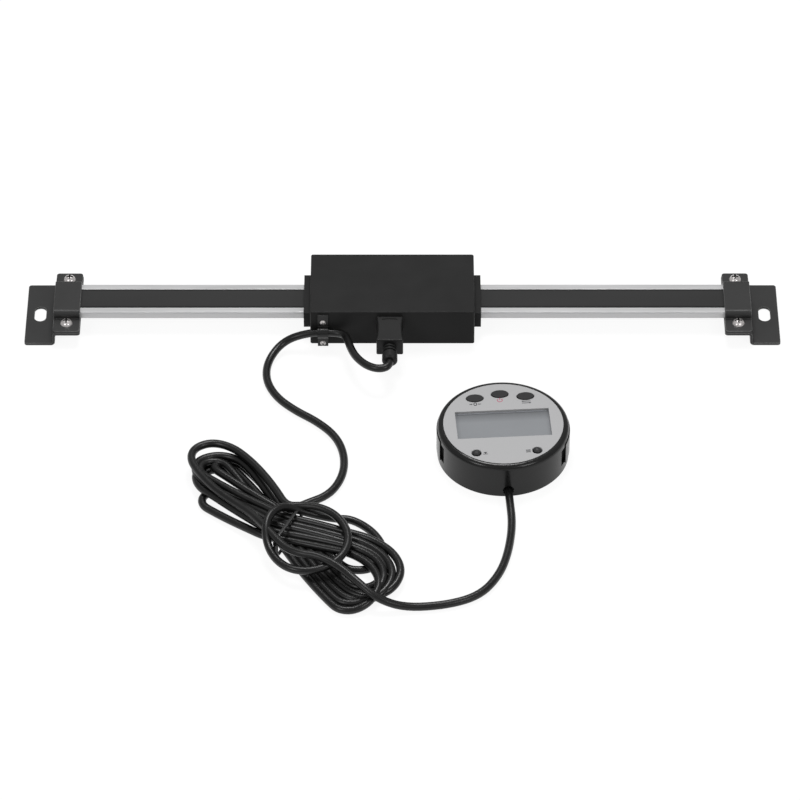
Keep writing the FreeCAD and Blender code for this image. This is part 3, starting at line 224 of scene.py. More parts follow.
EVEN = (1.0, 1.0, 1.0)
NOISE_LOW, NOISE_HIGH = 0.3, 0.7    # most of a noise texture's values lie between these
EDGE_SHARP, EDGE_FLAT = 0.78, 0.985    # how far a rounded normal follows the true one
# The same patches vary both the edge wear and the painted edge highlight.
PATCH_LOW, PATCH_HIGH = 0.35, 0.65    # where a patch of wear starts and is full
LEAST_WEAR_AND_GLINT = 0.4


def new_finish(name):
    """A new material, with its node tree and its shader."""
    material = bpy.data.materials.new(name)
    material.use_nodes = True
    return material, material.node_tree, material.node_tree.nodes["Principled BSDF"]


def set_inputs(node, **values):
    """Sets a node's plain sockets by name."""
    for name, value in values.items():
        node.inputs[name.replace("_", " ")].default_value = value


def node_of(tree, kind, **values):
    """Adds a node and sets its plain sockets by name."""
    node = tree.nodes.new(kind)
    set_inputs(node, **values)
    return node


def coat(tree, shader, **values):
    """Links what varies over a finish to its shader, by the socket's name."""
    for name, value in values.items():
        tree.links.new(value, shader.inputs[name.replace("_", " ")])


def worked_out(tree, operation, *values):
    """Result of a Math node."""
    node = tree.nodes.new("ShaderNodeMath")
    node.operation = operation
    for value, socket in zip(values, node.inputs):
        tree.links.new(value, socket)
    return node.outputs["Value"]


def object_place(tree, stretch=EVEN, centre=ORIGIN, turn=0.0):
    """Object coordinates through a Mapping node, measured from a centre."""
    coordinates = tree.nodes.new("ShaderNodeTexCoord")
    mapping = node_of(
        tree, "ShaderNodeMapping", Location=centre, Rotation=(0.0, 0.0, turn),
        Scale=[1.0 / part for part in stretch])
    mapping.vector_type = "TEXTURE"
    tree.links.new(coordinates.outputs["Object"], mapping.inputs["Vector"])
    return mapping.outputs["Vector"]


def readout_place(tree):
    """Object coordinates measured from the middle of the readout's face, along its display."""
    return object_place(tree, centre=READOUT_AXIS, turn=READOUT_TURN)


def axes_of(tree, place):
    """The X, Y and Z of a place, as sockets."""
    split = tree.nodes.new("ShaderNodeSeparateXYZ")
    tree.links.new(place, split.inputs["Vector"])
    return split.outputs


def noise_of(tree, place, scale, detail=3.0, roughness=0.5):
    """Values of a noise texture."""
    noise = node_of(tree, "ShaderNodeTexNoise", Scale=scale, Detail=detail, Roughness=roughness)
    tree.links.new(place, noise.inputs["Vector"])
    return noise.outputs[0]


def spread(tree, value, low, high, to_low=0.0, to_high=1.0):
    """Maps a value from one range to another, clamped."""
    node = node_of(
        tree, "ShaderNodeMapRange", From_Min=low, From_Max=high, To_Min=to_low, To_Max=to_high)
    tree.links.new(value, node.inputs["Value"])
    return node.outputs["Result"]


def from_noise(tree, noise, low=0.0, high=1.0):
    """Maps a noise texture's usual values to a range."""
    return spread(tree, noise, NOISE_LOW, NOISE_HIGH, low, high)


def tinted(colour, factor):
    """A darker or lighter colour of the same tint."""
    return tuple(part * factor for part in colour)


def blend_colours(tree, factor, first, second):
    """Mixes two colours, each a socket or a plain colour, by a factor."""
    mix = tree.nodes.new("ShaderNodeMix")
    mix.data_type = "RGBA"
    tree.links.new(factor, mix.inputs["Factor"])
    for name, colour in (("A", first), ("B", second)):
        socket = [s for s in mix.inputs if s.name == name and s.type == "RGBA"][0]
        if isinstance(colour, bpy.types.NodeSocket):
            tree.links.new(colour, socket)
        else:
            socket.default_value = (*colour, 1.0)
    return [s for s in mix.outputs if s.type == "RGBA"][0]


def shades(tree, noise, colour, dark, light):
    """A colour that shifts between a darker and a lighter shade with a noise texture."""
    return blend_colours(
        tree, from_noise(tree, noise), tinted(colour, dark), tinted(colour, light))


def bump_from(tree, height, strength, distance, normal=None):
    """A normal with a relief, over another normal where one is given."""
    bump = node_of(tree, "ShaderNodeBump", Strength=strength, Distance=distance)
    tree.links.new(height, bump.inputs["Height"])
    if normal is not None:
        tree.links.new(normal, bump.inputs["Normal"])
    return bump.outputs["Normal"]


def edge_wear_and_glint(tree, radius, patches):
    """How much an edge is lightened, for wear and for a painted highlight, from 0 on a face to 1
    on an edge, and the edges' rounded normal.
    """
    rounded = node_of(tree, "ShaderNodeBevel", Radius=radius)
    rounded.samples = 6
    surface = tree.nodes.new("ShaderNodeNewGeometry")
    turned = tree.nodes.new("ShaderNodeVectorMath")
    turned.operation = "DOT_PRODUCT"
    tree.links.new(rounded.outputs["Normal"], turned.inputs[0])
    tree.links.new(surface.outputs["Normal"], turned.inputs[1])
    edge = spread(tree, turned.outputs["Value"], EDGE_SHARP, EDGE_FLAT, 1.0, 0.0)
    wear_and_glint = spread(tree, patches, PATCH_LOW, PATCH_HIGH, LEAST_WEAR_AND_GLINT)
    return worked_out(tree, "MULTIPLY", edge, wear_and_glint), rounded.outputs["Normal"]


# Materials

def moulded(name, colour, roughness, specular, grain, bump, edge=0.0002, wear_and_glint_tint=1.9, stretch=EVEN):
    """Moulded or sprayed finish: fine grain, slow patches in colour and gloss, lighter edges:
    wear where the edge tint is slight, a painted highlight where it is large.
    """
    material, tree, shader = new_finish(name)
    slow = noise_of(tree, object_place(tree), scale=55.0, detail=2.0)
    fine = noise_of(tree, object_place(tree, stretch), grain, detail=4.0, roughness=0.6)
    wear_and_glint, rounded = edge_wear_and_glint(tree, edge, slow)
    base = shades(tree, slow, colour, dark=0.88, light=1.12)
    coat(tree, shader,
         Base_Color=blend_colours(tree, wear_and_glint, base, tinted(colour, wear_and_glint_tint)),
         Roughness=from_noise(tree, fine, roughness - 0.05, roughness + 0.05),
         Normal=bump_from(tree, fine, strength=bump, distance=0.0002, normal=rounded))
    set_inputs(shader, Specular_IOR_Level=specular)
    return material


def drawn_metal(name, colour, roughness, stretch, grain):
    """Bare metal with lines drawn one way and bright edges."""
    material, tree, shader = new_finish(name)
    lines = noise_of(tree, object_place(tree, stretch), grain, detail=4.0, roughness=0.6)
    slow = noise_of(tree, object_place(tree), scale=70.0, detail=2.0)
    wear_and_glint, rounded = edge_wear_and_glint(tree, radius=0.0001, patches=slow)
    base = shades(tree, lines, colour, dark=0.86, light=1.08)
    coat(tree, shader,
         Base_Color=blend_colours(tree, wear_and_glint, base, tinted(colour, 1.3)),
         Roughness=from_noise(tree, slow, roughness - 0.06, roughness + 0.06),
         Normal=bump_from(tree, lines, strength=0.25, distance=0.0001, normal=rounded))
    set_inputs(shader, Metallic=1.0)
    return material


def plated_screw(name, colour, depth):
    """Nickel plate on a cross-head screw, with painted shade down in the recess."""
    material, tree, shader = new_finish(name)
    slow = noise_of(tree, object_place(tree), scale=420.0)
    wear_and_glint, rounded = edge_wear_and_glint(tree, radius=0.00008, patches=slow)
    open_sky = node_of(tree, "ShaderNodeAmbientOcclusion", Distance=depth)
    open_sky.samples = 8
    open_sky.only_local = True
    # Painted shade: the plate darkens to near black where the recess is closed in.
    free_of_painted_shade = spread(tree, open_sky.outputs["AO"], low=0.7, high=0.96)
    plate = shades(tree, slow, colour, dark=0.82, light=1.05)
    plate = blend_colours(tree, wear_and_glint, plate, tinted(colour, 1.5))
    coat(tree, shader,
         Base_Color=blend_colours(tree, free_of_painted_shade, tinted(colour, 0.06), plate),
         Roughness=from_noise(tree, slow, 0.24, 0.34),
         Normal=bump_from(tree, slow, strength=0.1, distance=0.00005, normal=rounded))
    set_inputs(shader, Metallic=0.65)
    return material


def rail_aluminium(colour):
    """Extruded aluminium: lines along the rail, and lighter edges, partly wear and partly a
    painted highlight on the chamfers.
    """
    material, tree, shader = new_finish("extruded_aluminium")
    place = object_place(tree, stretch=(0.02, 1.0, 1.0))
    lines = noise_of(tree, place, scale=900.0, detail=5.0, roughness=0.65)
    bands = noise_of(tree, place, scale=260.0, detail=2.0)
    wear_and_glint, rounded = edge_wear_and_glint(tree, radius=0.00025, patches=bands)
    streaks = blend_colours(
        tree, spread(tree, lines, low=0.32, high=0.68), tinted(colour, 0.9), tinted(colour, 1.06))
    wide = spread(tree, bands, PATCH_LOW, PATCH_HIGH, to_high=0.6)
    base = blend_colours(tree, wide, streaks, tinted(colour, 1.03))
    coat(tree, shader,
         Base_Color=blend_colours(tree, wear_and_glint, base, tinted(colour, 1.3)),
         Roughness=from_noise(tree, lines, 0.36, 0.5),
         Normal=bump_from(tree, lines, strength=0.2, distance=0.00006, normal=rounded))
    set_inputs(shader, Metallic=0.65)
    return material


FILM_BORDER, FILM_BORDER_FULL = 0.0011, 0.0006    # from the film's edge


def film_finish(colour):
    """Printed film: satin, with a darker border along both long edges."""
    material, tree, shader = new_finish("scale_film")
    low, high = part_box("cover_film")
    half = (high.y - low.y) / 2
    place = object_place(tree, centre=(0.0, RAIL_Y, 0.0))
    across = worked_out(tree, "ABSOLUTE", axes_of(tree, place)["Y"])
    border = spread(tree, across, half - FILM_BORDER, half - FILM_BORDER_FULL)
    grain = noise_of(tree, object_place(tree), scale=2600.0, roughness=0.6)
    slow = noise_of(tree, object_place(tree, stretch=(0.25, 1.0, 1.0)), scale=40.0, detail=2.0)
    middle = shades(tree, slow, colour, dark=0.9, light=1.1)
    coat(tree, shader,
         Base_Color=blend_colours(tree, border, middle, tinted(colour, 0.35)),
         Roughness=from_noise(tree, grain, 0.36, 0.48),
         Normal=bump_from(tree, grain, strength=0.03, distance=0.0001))
    set_inputs(shader, Specular_IOR_Level=0.28)
    return material


def circuit_finish(name, colour):
    """Green solder mask with paler traces."""
    material, tree, shader = new_finish(name)
    place = object_place(tree)
    traces = node_of(
        tree, "ShaderNodeTexBrick", Scale=180.0, Mortar_Size=0.03, Color1=(*colour, 1.0),
        Color2=(*tinted(colour, 0.8), 1.0), Mortar=(*tinted(colour, 1.9), 1.0))
    tree.links.new(place, traces.inputs["Vector"])
    fine = noise_of(tree, place, scale=1500.0)
    coat(tree, shader,
         Base_Color=traces.outputs["Color"],
         Roughness=from_noise(tree, fine, 0.32, 0.46),
         Normal=bump_from(tree, traces.outputs["Fac"], strength=0.3, distance=0.00005))
    return material


def faceplate_finish(colour):
    """Even silver print on a thin plate: fine sparkle, slow shifts of tone, bright cut edge."""
    material, tree, shader = new_finish("silver_faceplate")
    place = readout_place(tree)
    sparkle = noise_of(tree, place, scale=5200.0, detail=2.0)
    slow = noise_of(tree, place, scale=60.0, detail=2.0)
    wear_and_glint, rounded = edge_wear_and_glint(tree, radius=0.00012, patches=slow)
    base = shades(tree, sparkle, colour, dark=0.97, light=1.03)
    coat(tree, shader,
         Base_Color=blend_colours(tree, wear_and_glint, base, tinted(colour, 1.18)),
         Roughness=from_noise(tree, sparkle, 0.44, 0.58),
         Normal=bump_from(tree, sparkle, strength=0.08, distance=0.00005, normal=rounded))
    set_inputs(shader, Metallic=0.2, Specular_IOR_Level=0.3)
    return material


# Painted shadow along the display's far side: where it starts and where it is full
LCD_PAINTED_SHADOW = (0.0032, 0.0082)    # from the readout's middle to the display's far side
# Pale border of the panel, partly painted light that lifts the strip in the faceplate's shadow
LCD_LIFTED_BORDER = (0.0090, 0.0096)


def lcd_finish(colour):
    """Blank reflective panel: faint grain, a painted shadow along its far side, and a pale border
    partly painted light where the faceplate's edge shades it.
    """
    material, tree, shader = new_finish("blank_display")
    place = readout_place(tree)
    slow = noise_of(tree, place, scale=45.0, detail=2.0)
    fine = noise_of(tree, place, scale=4200.0, detail=2.0)
    tone = shades(tree, slow, colour, dark=0.97, light=1.03)
    base = blend_colours(tree, from_noise(tree, fine, 0.0, 0.2), tone, tinted(colour, 0.88))
    up_display = axes_of(tree, place)["Y"]
    # Painted shadow: the panel darkens towards its far side, as under the faceplate's far edge.
    painted_shadow = spread(tree, up_display, *LCD_PAINTED_SHADOW)
    with_painted_shadow = blend_colours(tree, painted_shadow, base, tinted(colour, 0.6))
    # Pale border, partly painted light: lifts the strip that lies in shadow under the faceplate's
    # edge.
    border = spread(tree, up_display, *LCD_LIFTED_BORDER)
    coat(tree, shader,
         Base_Color=blend_colours(tree, border, with_painted_shadow, tinted(colour, 2.4)),
         Roughness=from_noise(tree, fine, 0.34, 0.46),
         Normal=bump_from(tree, fine, strength=0.03, distance=0.00005))
    set_inputs(shader, Specular_IOR_Level=0.3)
    return material


DISPLAY_FRAME = (("X", 0.0221), ("Y", 0.0098))    # half of the frame round the display
DISPLAY_FRAME_EDGE = 0.0002
DISPLAY_FRAME_GREY = (0.24, 0.245, 0.25)


def case_finish(colour):
    """Gloss moulding, with a grey frame inside the display's opening."""
    material = moulded(
        "case_black", colour, roughness=0.22, specular=0.3, grain=900.0, bump=0.01, wear_and_glint_tint=1.3)
    tree = material.node_tree
    base = tree.nodes["Principled BSDF"].inputs["Base Color"]
    black = base.links[0].from_socket
    axes = axes_of(tree, readout_place(tree))
    inside = []
    for axis, half in DISPLAY_FRAME:
        reach = worked_out(tree, "ABSOLUTE", axes[axis])
        inside.append(spread(tree, reach, half, half + DISPLAY_FRAME_EDGE, 1.0, 0.0))
    framed = worked_out(tree, "MULTIPLY", *inside)
    tree.links.new(blend_colours(tree, framed, black, DISPLAY_FRAME_GREY), base)
    return material


def window_finish():
    """Thin clear window: nearly all see-through, with a soft gloss."""
    material, tree, shader = new_finish("clear_window")
    smudge = noise_of(tree, object_place(tree), scale=120.0)
    clear, smeared = (0.30, 0.31, 0.33), (0.36, 0.37, 0.39)
    coat(tree, shader,
         Base_Color=blend_colours(tree, from_noise(tree, smudge), clear, smeared),
         Roughness=from_noise(tree, smudge, 0.05, 0.14))
    set_inputs(shader, Alpha=0.07, Specular_IOR_Level=0.5)
    material.surface_render_method = "BLENDED"
    return material


def cable_finish(colour):
    """Extruded jacket: satin, slightly wavy, with slow shifts of colour and gloss along it."""
    material, tree, shader = new_finish("cable_jacket")
    place = object_place(tree)
    waves = noise_of(tree, place, scale=320.0, detail=2.0, roughness=0.4)
    slow = noise_of(tree, place, scale=90.0, detail=2.0)
    coat(tree, shader,
         Base_Color=shades(tree, slow, colour, dark=0.75, light=1.3),
         Roughness=from_noise(tree, slow, 0.3, 0.38),
         Normal=bump_from(tree, waves, strength=0.05, distance=0.0001))
    set_inputs(shader, Specular_IOR_Level=0.4)
    return material


def felt_finish(name, colour):
    """Pressed fibres."""
    material, tree, shader = new_finish(name)
    place = object_place(tree, stretch=(1.0, 1.0, 0.3))
    fibres = noise_of(tree, place, scale=1600.0, detail=6.0, roughness=0.7)
    coat(tree, shader,
         Base_Color=shades(tree, fibres, colour, dark=0.6, light=1.4),
         Normal=bump_from(tree, fibres, strength=0.8, distance=0.0003))
    set_inputs(shader, Roughness=0.95, Sheen_Weight=0.3)
    return material


# Cable: points of its route, in metres from the rail's axis and the floor

LEAD_ROUTE = [
    (-0.0060, -0.04985, 0.0139),
    (-0.0063, -0.0535, 0.0139),
    (-0.0114, -0.0551, 0.0137),
    (-0.0171, -0.0518, 0.0132),
    (-0.0217, -0.0452, 0.0124),
    (-0.0242, -0.0384, 0.0116),
    (-0.0256, -0.0318, 0.0109),
    (-0.0273, -0.0259, 0.0103),
    (-0.0320, -0.02385, 0.0098),
    (-0.0445, -0.02385, 0.0098),
    (-0.0565, -0.0242, 0.0050),
    (-0.0638, -0.0350, 0.0018),
    (-0.0646, -0.0488, 0.0018),
    (-0.0595, -0.0614, 0.0018),
    (-0.0504, -0.0711, 0.0018),
    (-0.0396, -0.0792, 0.0018),
    (-0.0308, -0.0897, 0.0018),
    (-0.0268, -0.1029, 0.0018),
    (-0.0274, -0.1170, 0.0018),
    (-0.0334, -0.1300, 0.0018),
    (-0.0446, -0.1362, 0.0018),
    (-0.0548, -0.1426, 0.0018),
]
TAIL_ROUTE = [
    (0.0204, -0.2038, 0.0018),
    (0.0350, -0.1974, 0.0018),
    (0.0438, -0.1839, 0.0018),
    (0.0481, -0.1685, 0.0018),
    (0.0502, -0.1500, 0.0018),
    (0.04913, -0.1355, 0.0034),
    (0.04859, -0.12753, 0.0034),
]

# A fold of the hank in the hank's own frame, in millimetres: how far its tip reaches along the
# hank and where the tip lies across it, the place across and along at which the cable comes in,
# the same where it goes out, and both heights
Fold = namedtuple("Fold", "tip middle first first_at last last_at enters leaves")
# A lane through the tied waist: across the hank, and height
Lane = namedtuple("Lane", "across height")
# A turn: the fold at the far end, the lane to the near end, the fold there and the lane to the
# next turn. The lanes cross in the waist, so that the lower side of a far fold becomes the
# upper side of a near one
Turn = namedtuple("Turn", "far back near onward")

TURNS = [
    Turn(Fold(-41, -9.8, -3.4, -35, -15.8, -34.5, 1.8, 1.8), Lane(-11.4, 3.4),
         Fold(64.5, -8, 7.6, 45, -20.4, 54.5, 5.4, 1.8), Lane(-6.0, 1.8)),
    Turn(Fold(-54, 1.5, 8.2, -46.5, -4.6, -47, 5.4, 6.4), Lane(2.2, 6.6),
         Fold(65.5, 5, 20.7, 45, -9, 50, 5.4, 1.8), Lane(3.6, 1.8)),
    Turn(Fold(-57, 1.5, 14.6, -43, -8.0, -41, 5.4, 6.0), Lane(-5.0, 6.4),
         Fold(58, 3.5, 14.2, 45, -5.2, 48, 4.8, 1.8), Lane(6.8, 1.8)),
    Turn(Fold(-54.5, 1.5, 15.4, -43, -10.6, -41, 1.8, 5.0), Lane(-8.8, 5.2),
         Fold(62.5, -3, 12, 45, -16.6, 52, 5.4, 1.8), Lane(-2.8, 1.8)),
    Turn(Fold(-52, 1.4, 7.2, -45.5, -4.4, -46, 1.8, 1.8), Lane(-1.6, 6.0),
         Fold(64.5, 0.5, 16.4, 44, -12.8, 51, 5.4, 1.8), Lane(0.4, 1.8)),
    Turn(Fold(-49.5, 6, 11, -43.5, 1.2, -44, 1.8, 7.2), Lane(6.0, 4.4),
         Fold(48, 12, 1.0, 38, 26.6, 27, 1.8, 1.8), None),
]
FOLD_ANGLES = (-112, -75, -38, 0, 38, 75, 112)
FOLD_SWELL = 1.05
CLIMB_START, CLIMB_SPAN = -30.0, 75.0    # degrees of a fold over which the height changes
CLIMB_POWER = 1.5    # how late the height changes on the way from the waist
LANE_STEPS = ((0.28, 0.36), (0.6, 0.72))    # shares of the way from the waist, along and across

# The loose loop on top of the hank, the last fold over its far end, and the way out over its
# near end, in the hank's own frame
LOOSE_LOOP = [
    (13.5, 20.2, 2.6), (7, 14.2, 4.6), (2.2, 8.4, 8.0), (-1.6, 2.4, 12.6), (-2.2, -5.2, 13.4),
    (1.4, -12.6, 12.2), (8.5, -18.2, 8.0), (18, -21.8, 7.2), (27.5, -21.4, 7.4),
    (35, -15.5, 7.6), (39, -6, 8.6), (37.5, 4, 9.4), (30, 12.6, 10.2), (18, 16.4, 10.6),
    (8.5, 14.4, 10.6), (2.0, 10.6, 9.6), (-3.4, 5.4, 9.2),
]
TOP_FOLD = [
    (-14, 9.4, 9.4), (-26, 13.2, 9.0), (-38, 15.6, 9.0), (-50, 16.2, 9.0), (-59.6, 12.2, 8.8),
    (-62.8, 3.8, 8.6), (-58.5, -3.2, 8.8), (-48, -7.2, 9.0), (-35, -9.6, 9.0),
    (-21, -9.6, 9.2), (-10, -10.2, 10.4), (1, -12.4, 11.0), (10, -14.2, 10.8),
]
WAY_OUT = [
    (18, -15.4, 10.5), (25.6, -13.6, 11.0), (32, -9.5, 11.4), (43, -7.2, 11.2), (57, -8, 10.2),
    (67.5, -7.4, 7.3), (77, 1.0, 1.8),
]
MILLIMETRE = 0.001


def fold_points(fold):
    """Points round one fold, from where the cable comes in to where it goes out."""
    points = []
    for degrees in FOLD_ANGLES:
        angle = math.radians(degrees)
        coming_in = degrees < 0
        edge = fold.first if coming_in else fold.last
        along = fold.first_at if coming_in else fold.last_at
        climbed = min(max((degrees - CLIMB_START) / CLIMB_SPAN, 0.0), 1.0)
        points.append((
            along + FOLD_SWELL * (fold.tip - along) * math.cos(angle),
            fold.middle + FOLD_SWELL * (edge - fold.middle) * abs(math.sin(angle)),
            fold.enters + (fold.leaves - fold.enters) * climbed,
        ))
    return points


def between(lane, edge, along, share, height):
    """A point on the way from a lane in the waist to the edge of a fold."""
    across = lane.across + (edge - lane.across) * share
    return along, across, lane.height + (height - lane.height) * share ** CLIMB_POWER


def lane_points(lane, before, after):
    """Points from one fold through the waist to the next fold."""
    inward = [between(lane, before.last, part * before.last_at, share, before.leaves)
              for part, share in LANE_STEPS]
    outward = [between(lane, after.first, part * after.first_at, share, after.enters)
               for part, share in LANE_STEPS]
    return inward[::-1] + [(0.0, lane.across, lane.height)] + outward


def hank_turns():
    """Points of all the turns, in the hank's own frame."""
    points = []
    for turn, following in zip(TURNS, TURNS[1:] + [None]):
        points += fold_points(turn.far)
        points += lane_points(turn.back, turn.far, turn.near)
        points += fold_points(turn.near)
        if turn.onward is not None:
            points += lane_points(turn.onward, turn.near, following.far)
    return points


def hank_frame(settings):
    """From the hank's own millimetres to the frame's metres."""
    place = Vector(settings.hank_place) + Vector((0.0, RAIL_Y, 0.0))
    turn = Matrix.Rotation(settings.hank_turn, 4, "Z")
    return Matrix.Translation(place) @ turn @ Matrix.Scale(MILLIMETRE, 4)


def cable_route(settings):
    """The whole route from the plug to the readout, in the frame's metres."""
    from_rail = Matrix.Translation((0.0, RAIL_Y, 0.0))
    from_hank = hank_frame(settings)
    hank = hank_turns() + LOOSE_LOOP + TOP_FOLD + WAY_OUT
    route = [from_rail @ Vector(point) for point in LEAD_ROUTE]
    route += [from_hank @ Vector(point) for point in hank]
    route += [from_rail @ Vector(point) for point in TAIL_ROUTE]
    for point in route:
        point.z = max(point.z, settings.diameter / 2)
    return route


# Stage

FLOOR_SIZE = 40.0
FLOOR_DROP = 0.0002    # below the brackets' feet, so that no two faces share a plane
# A soft box: its place and size in metres, and its share of the lamp power
SoftBox = namedtuple("SoftBox", "name place size share")
SOFT_BOXES = (
    SoftBox("main_soft_box", (0.0, 0.5, 1.4), 0.5, 1.18),
    SoftBox("left_soft_box", (-0.80, -0.89, 0.92), 0.40, 0.38),
    SoftBox("right_soft_box", (0.80, -0.89, 0.92), 0.40, 0.38),
)
CAMERA_PLACE = (-0.001644, -1.804765, 1.56133)
CAMERA_TURN = (math.radians(49.013), 0.0, math.radians(-0.015))
SENSOR_WIDTH = 36.0
VIEW_REACH = 50.0


def any_ray(tree, *kinds):
    """1 for rays of the named kinds, 0 for the rest."""
    path = tree.nodes.new("ShaderNodeLightPath")
    total = path.outputs[kinds[0]]
    for kind in kinds[1:]:
        total = worked_out(tree, "MAXIMUM", total, path.outputs[kind])
    return total


def floor_finish(colour, white):
    """Plain pale floor that shows as white and keeps a soft shadow."""
    material = bpy.data.materials.new("studio_floor")
    material.use_nodes = True
    tree = material.node_tree
    tree.nodes.clear()
    output = tree.nodes.new("ShaderNodeOutputMaterial")
    matt = node_of(tree, "ShaderNodeBsdfDiffuse", Color=(*colour, 1.0))
    glow = tree.nodes.new("ShaderNodeEmission")
    both = tree.nodes.new("ShaderNodeAddShader")
    seen = any_ray(tree, "Is Camera Ray", "Is Glossy Ray", "Is Transmission Ray")
    strength = spread(tree, seen, 0.0, 1.0, to_high=white)
    tree.links.new(strength, glow.inputs["Strength"])
    tree.links.new(matt.outputs["BSDF"], both.inputs[0])
    tree.links.new(glow.outputs["Emission"], both.inputs[1])
    tree.links.new(both.outputs["Shader"], output.inputs["Surface"])
    return material


def light_sky(scene, strength):
    """Even light from all round, the same for every ray."""
    world = bpy.data.worlds.new("studio_sky")
    world.use_nodes = True
    scene.world = world
    background = world.node_tree.nodes["Background"]
    set_inputs(background, Color=(1.0, 1.0, 1.0, 1.0), Strength=strength)


# Operators

class SCALE_OT_stage(bpy.types.Operator):
    """White floor, soft light and the camera"""
    bl_idname = "scale.stage"
    bl_label = "Stage"

    def execute(self, context):
        settings = context.scene.scale_stage
        start_clean()
        bpy.ops.mesh.primitive_plane_add(size=FLOOR_SIZE, location=(0.0, 0.0, -FLOOR_DROP))
        floor = context.object
        floor.name = "floor"
        settle(floor)
        floor.data.materials.append(floor_finish(settings.floor_colour, settings.floor_white))
        light_sky(context.scene, settings.sky)
        for box in SOFT_BOXES:
            start_clean()
            bpy.ops.object.light_add(type="AREA", location=box.place)
            lamp = context.object
            lamp.name = box.name
            lamp.data.energy = settings.lamp_power * box.share
            lamp.data.size = box.size
            lamp.rotation_euler = (-Vector(box.place)).to_track_quat("-Z", "Y").to_euler()
        start_clean()
        bpy.ops.object.camera_add(location=CAMERA_PLACE, rotation=CAMERA_TURN)
        camera = context.object
        camera.name = "camera"
        camera.data.lens = settings.lens
        camera.data.sensor_width = SENSOR_WIDTH
        camera.data.clip_end = VIEW_REACH
        camera.data.dof.use_dof = False
        context.scene.camera = camera
        context.scene.view_settings.view_transform = "Standard"
        return {"FINISHED"}


class SCALE_OT_rail(bpy.types.Operator):
    """Finishes of the rail, its scale board and its film"""
    bl_idname = "scale.rail"
    bl_label = "Rail"

    def execute(self, context):
        finish = context.scene.scale_finish
        dress(rail_aluminium(finish.aluminium), "rail_extrusion")
        dress(film_finish(finish.film), "cover_film")
        dress(circuit_finish("scale_circuit", (0.02, 0.10, 0.05)), "scale_board")
        return {"FINISHED"}


class SCALE_OT_brackets(bpy.types.Operator):
    """Finishes of the end brackets, the clamp straps and their screws"""
    bl_idname = "scale.brackets"
    bl_label = "Brackets and straps"

    def execute(self, context):
        finish = context.scene.scale_finish
        # Edges tinted many times lighter than the enamel: a painted highlight along the sheet
        # edges, with a little wear to bare steel.
        enamel = moulded(
            "black_enamel", finish.enamel, roughness=0.44, specular=0.45, grain=700.0,
            bump=0.01, edge=0.0004, wear_and_glint_tint=24.0)
        dress(enamel, "left_bracket", "right_bracket", "left_strap", "right_strap")
        dress(plated_screw("nickel_screws", finish.steel, depth=0.0012), "strap_screws")
        return {"FINISHED"}


class SCALE_OT_head(bpy.types.Operator):
    """Finishes of the reading head and of what is inside it"""
    bl_idname = "scale.head"
    bl_label = "Reading head"

    def execute(self, context):
        finish = context.scene.scale_finish
        satin = moulded(
            "head_satin", finish.head, roughness=0.48, specular=0.13, grain=2200.0, bump=0.04,
            wear_and_glint_tint=2.6, stretch=(0.04, 1.0, 1.0))
        base = moulded(
            "base_black", tinted(finish.head, 0.9), roughness=0.55, specular=0.2, grain=1800.0,
            bump=0.15)
        cap = moulded(
            "cap_black", tinted(finish.head, 0.8), roughness=0.5, specular=0.18, grain=1800.0,
            bump=0.12)
        guide = moulded(
            "guide_acetal", (0.62, 0.60, 0.55), roughness=0.45, specular=0.4, grain=1500.0,
            bump=0.08)
        pads = moulded(
            "pad_polymer", (0.07, 0.07, 0.075), roughness=0.4, specular=0.4, grain=1500.0,
            bump=0.1)
        spring = drawn_metal(
            "spring_leaf", (0.62, 0.60, 0.57), roughness=0.28, stretch=(0.1, 1.0, 1.0),
            grain=900.0)
        socket = moulded(
            "socket_black", (0.02, 0.02, 0.02), roughness=0.45, specular=0.3, grain=1600.0,
            bump=0.1)
        inner_steel = drawn_metal(
            "zinc_screws", tinted(finish.steel, 0.9), roughness=0.3, stretch=EVEN, grain=1200.0)
        dress(satin, "head_cover")
        dress(base, "head_base")
        dress(cap, "left_end_cap", "right_end_cap")
        dress(guide, "guide_body", "guide_keeper")
        dress(pads, "glide_pads")
        dress(felt_finish("wiper_felt", (0.03, 0.03, 0.032)), "wipers")
        dress(circuit_finish("sensor_circuit", (0.02, 0.11, 0.05)), "sensor_board")
        dress(spring, "sensor_spring")
        dress(socket, "connector_socket")
        dress(inner_steel, "base_screws", "keeper_screws")
        return {"FINISHED"}


class SCALE_OT_plug(bpy.types.Operator):
    """Finishes of the plug, its strain relief and the cable clip"""
    bl_idname = "scale.plug"
    bl_label = "Plug and clip"

    def execute(self, context):
        finish = context.scene.scale_finish
        rubber = moulded(
            "plug_rubber", finish.rubber, roughness=0.44, specular=0.22, grain=1500.0, bump=0.06)
        shell = drawn_metal(
            "plug_shell_metal", (0.68, 0.67, 0.64), roughness=0.28, stretch=(1.0, 0.15, 1.0),
            grain=900.0)
        clip = moulded(
            "clip_black", (0.012, 0.012, 0.012), roughness=0.34, specular=0.36, grain=1300.0,
            bump=0.04)
        dress(rubber, "plug_body", "strain_relief")
        dress(shell, "plug_shell")
        dress(clip, "cable_clip")
        dress(plated_screw("small_nickel_screws", finish.steel, depth=0.0006), "clip_screws")
        return {"FINISHED"}


CABLE_SIDES, CABLE_STEPS = 8, 6    # the curve's resolution round the cable and along it


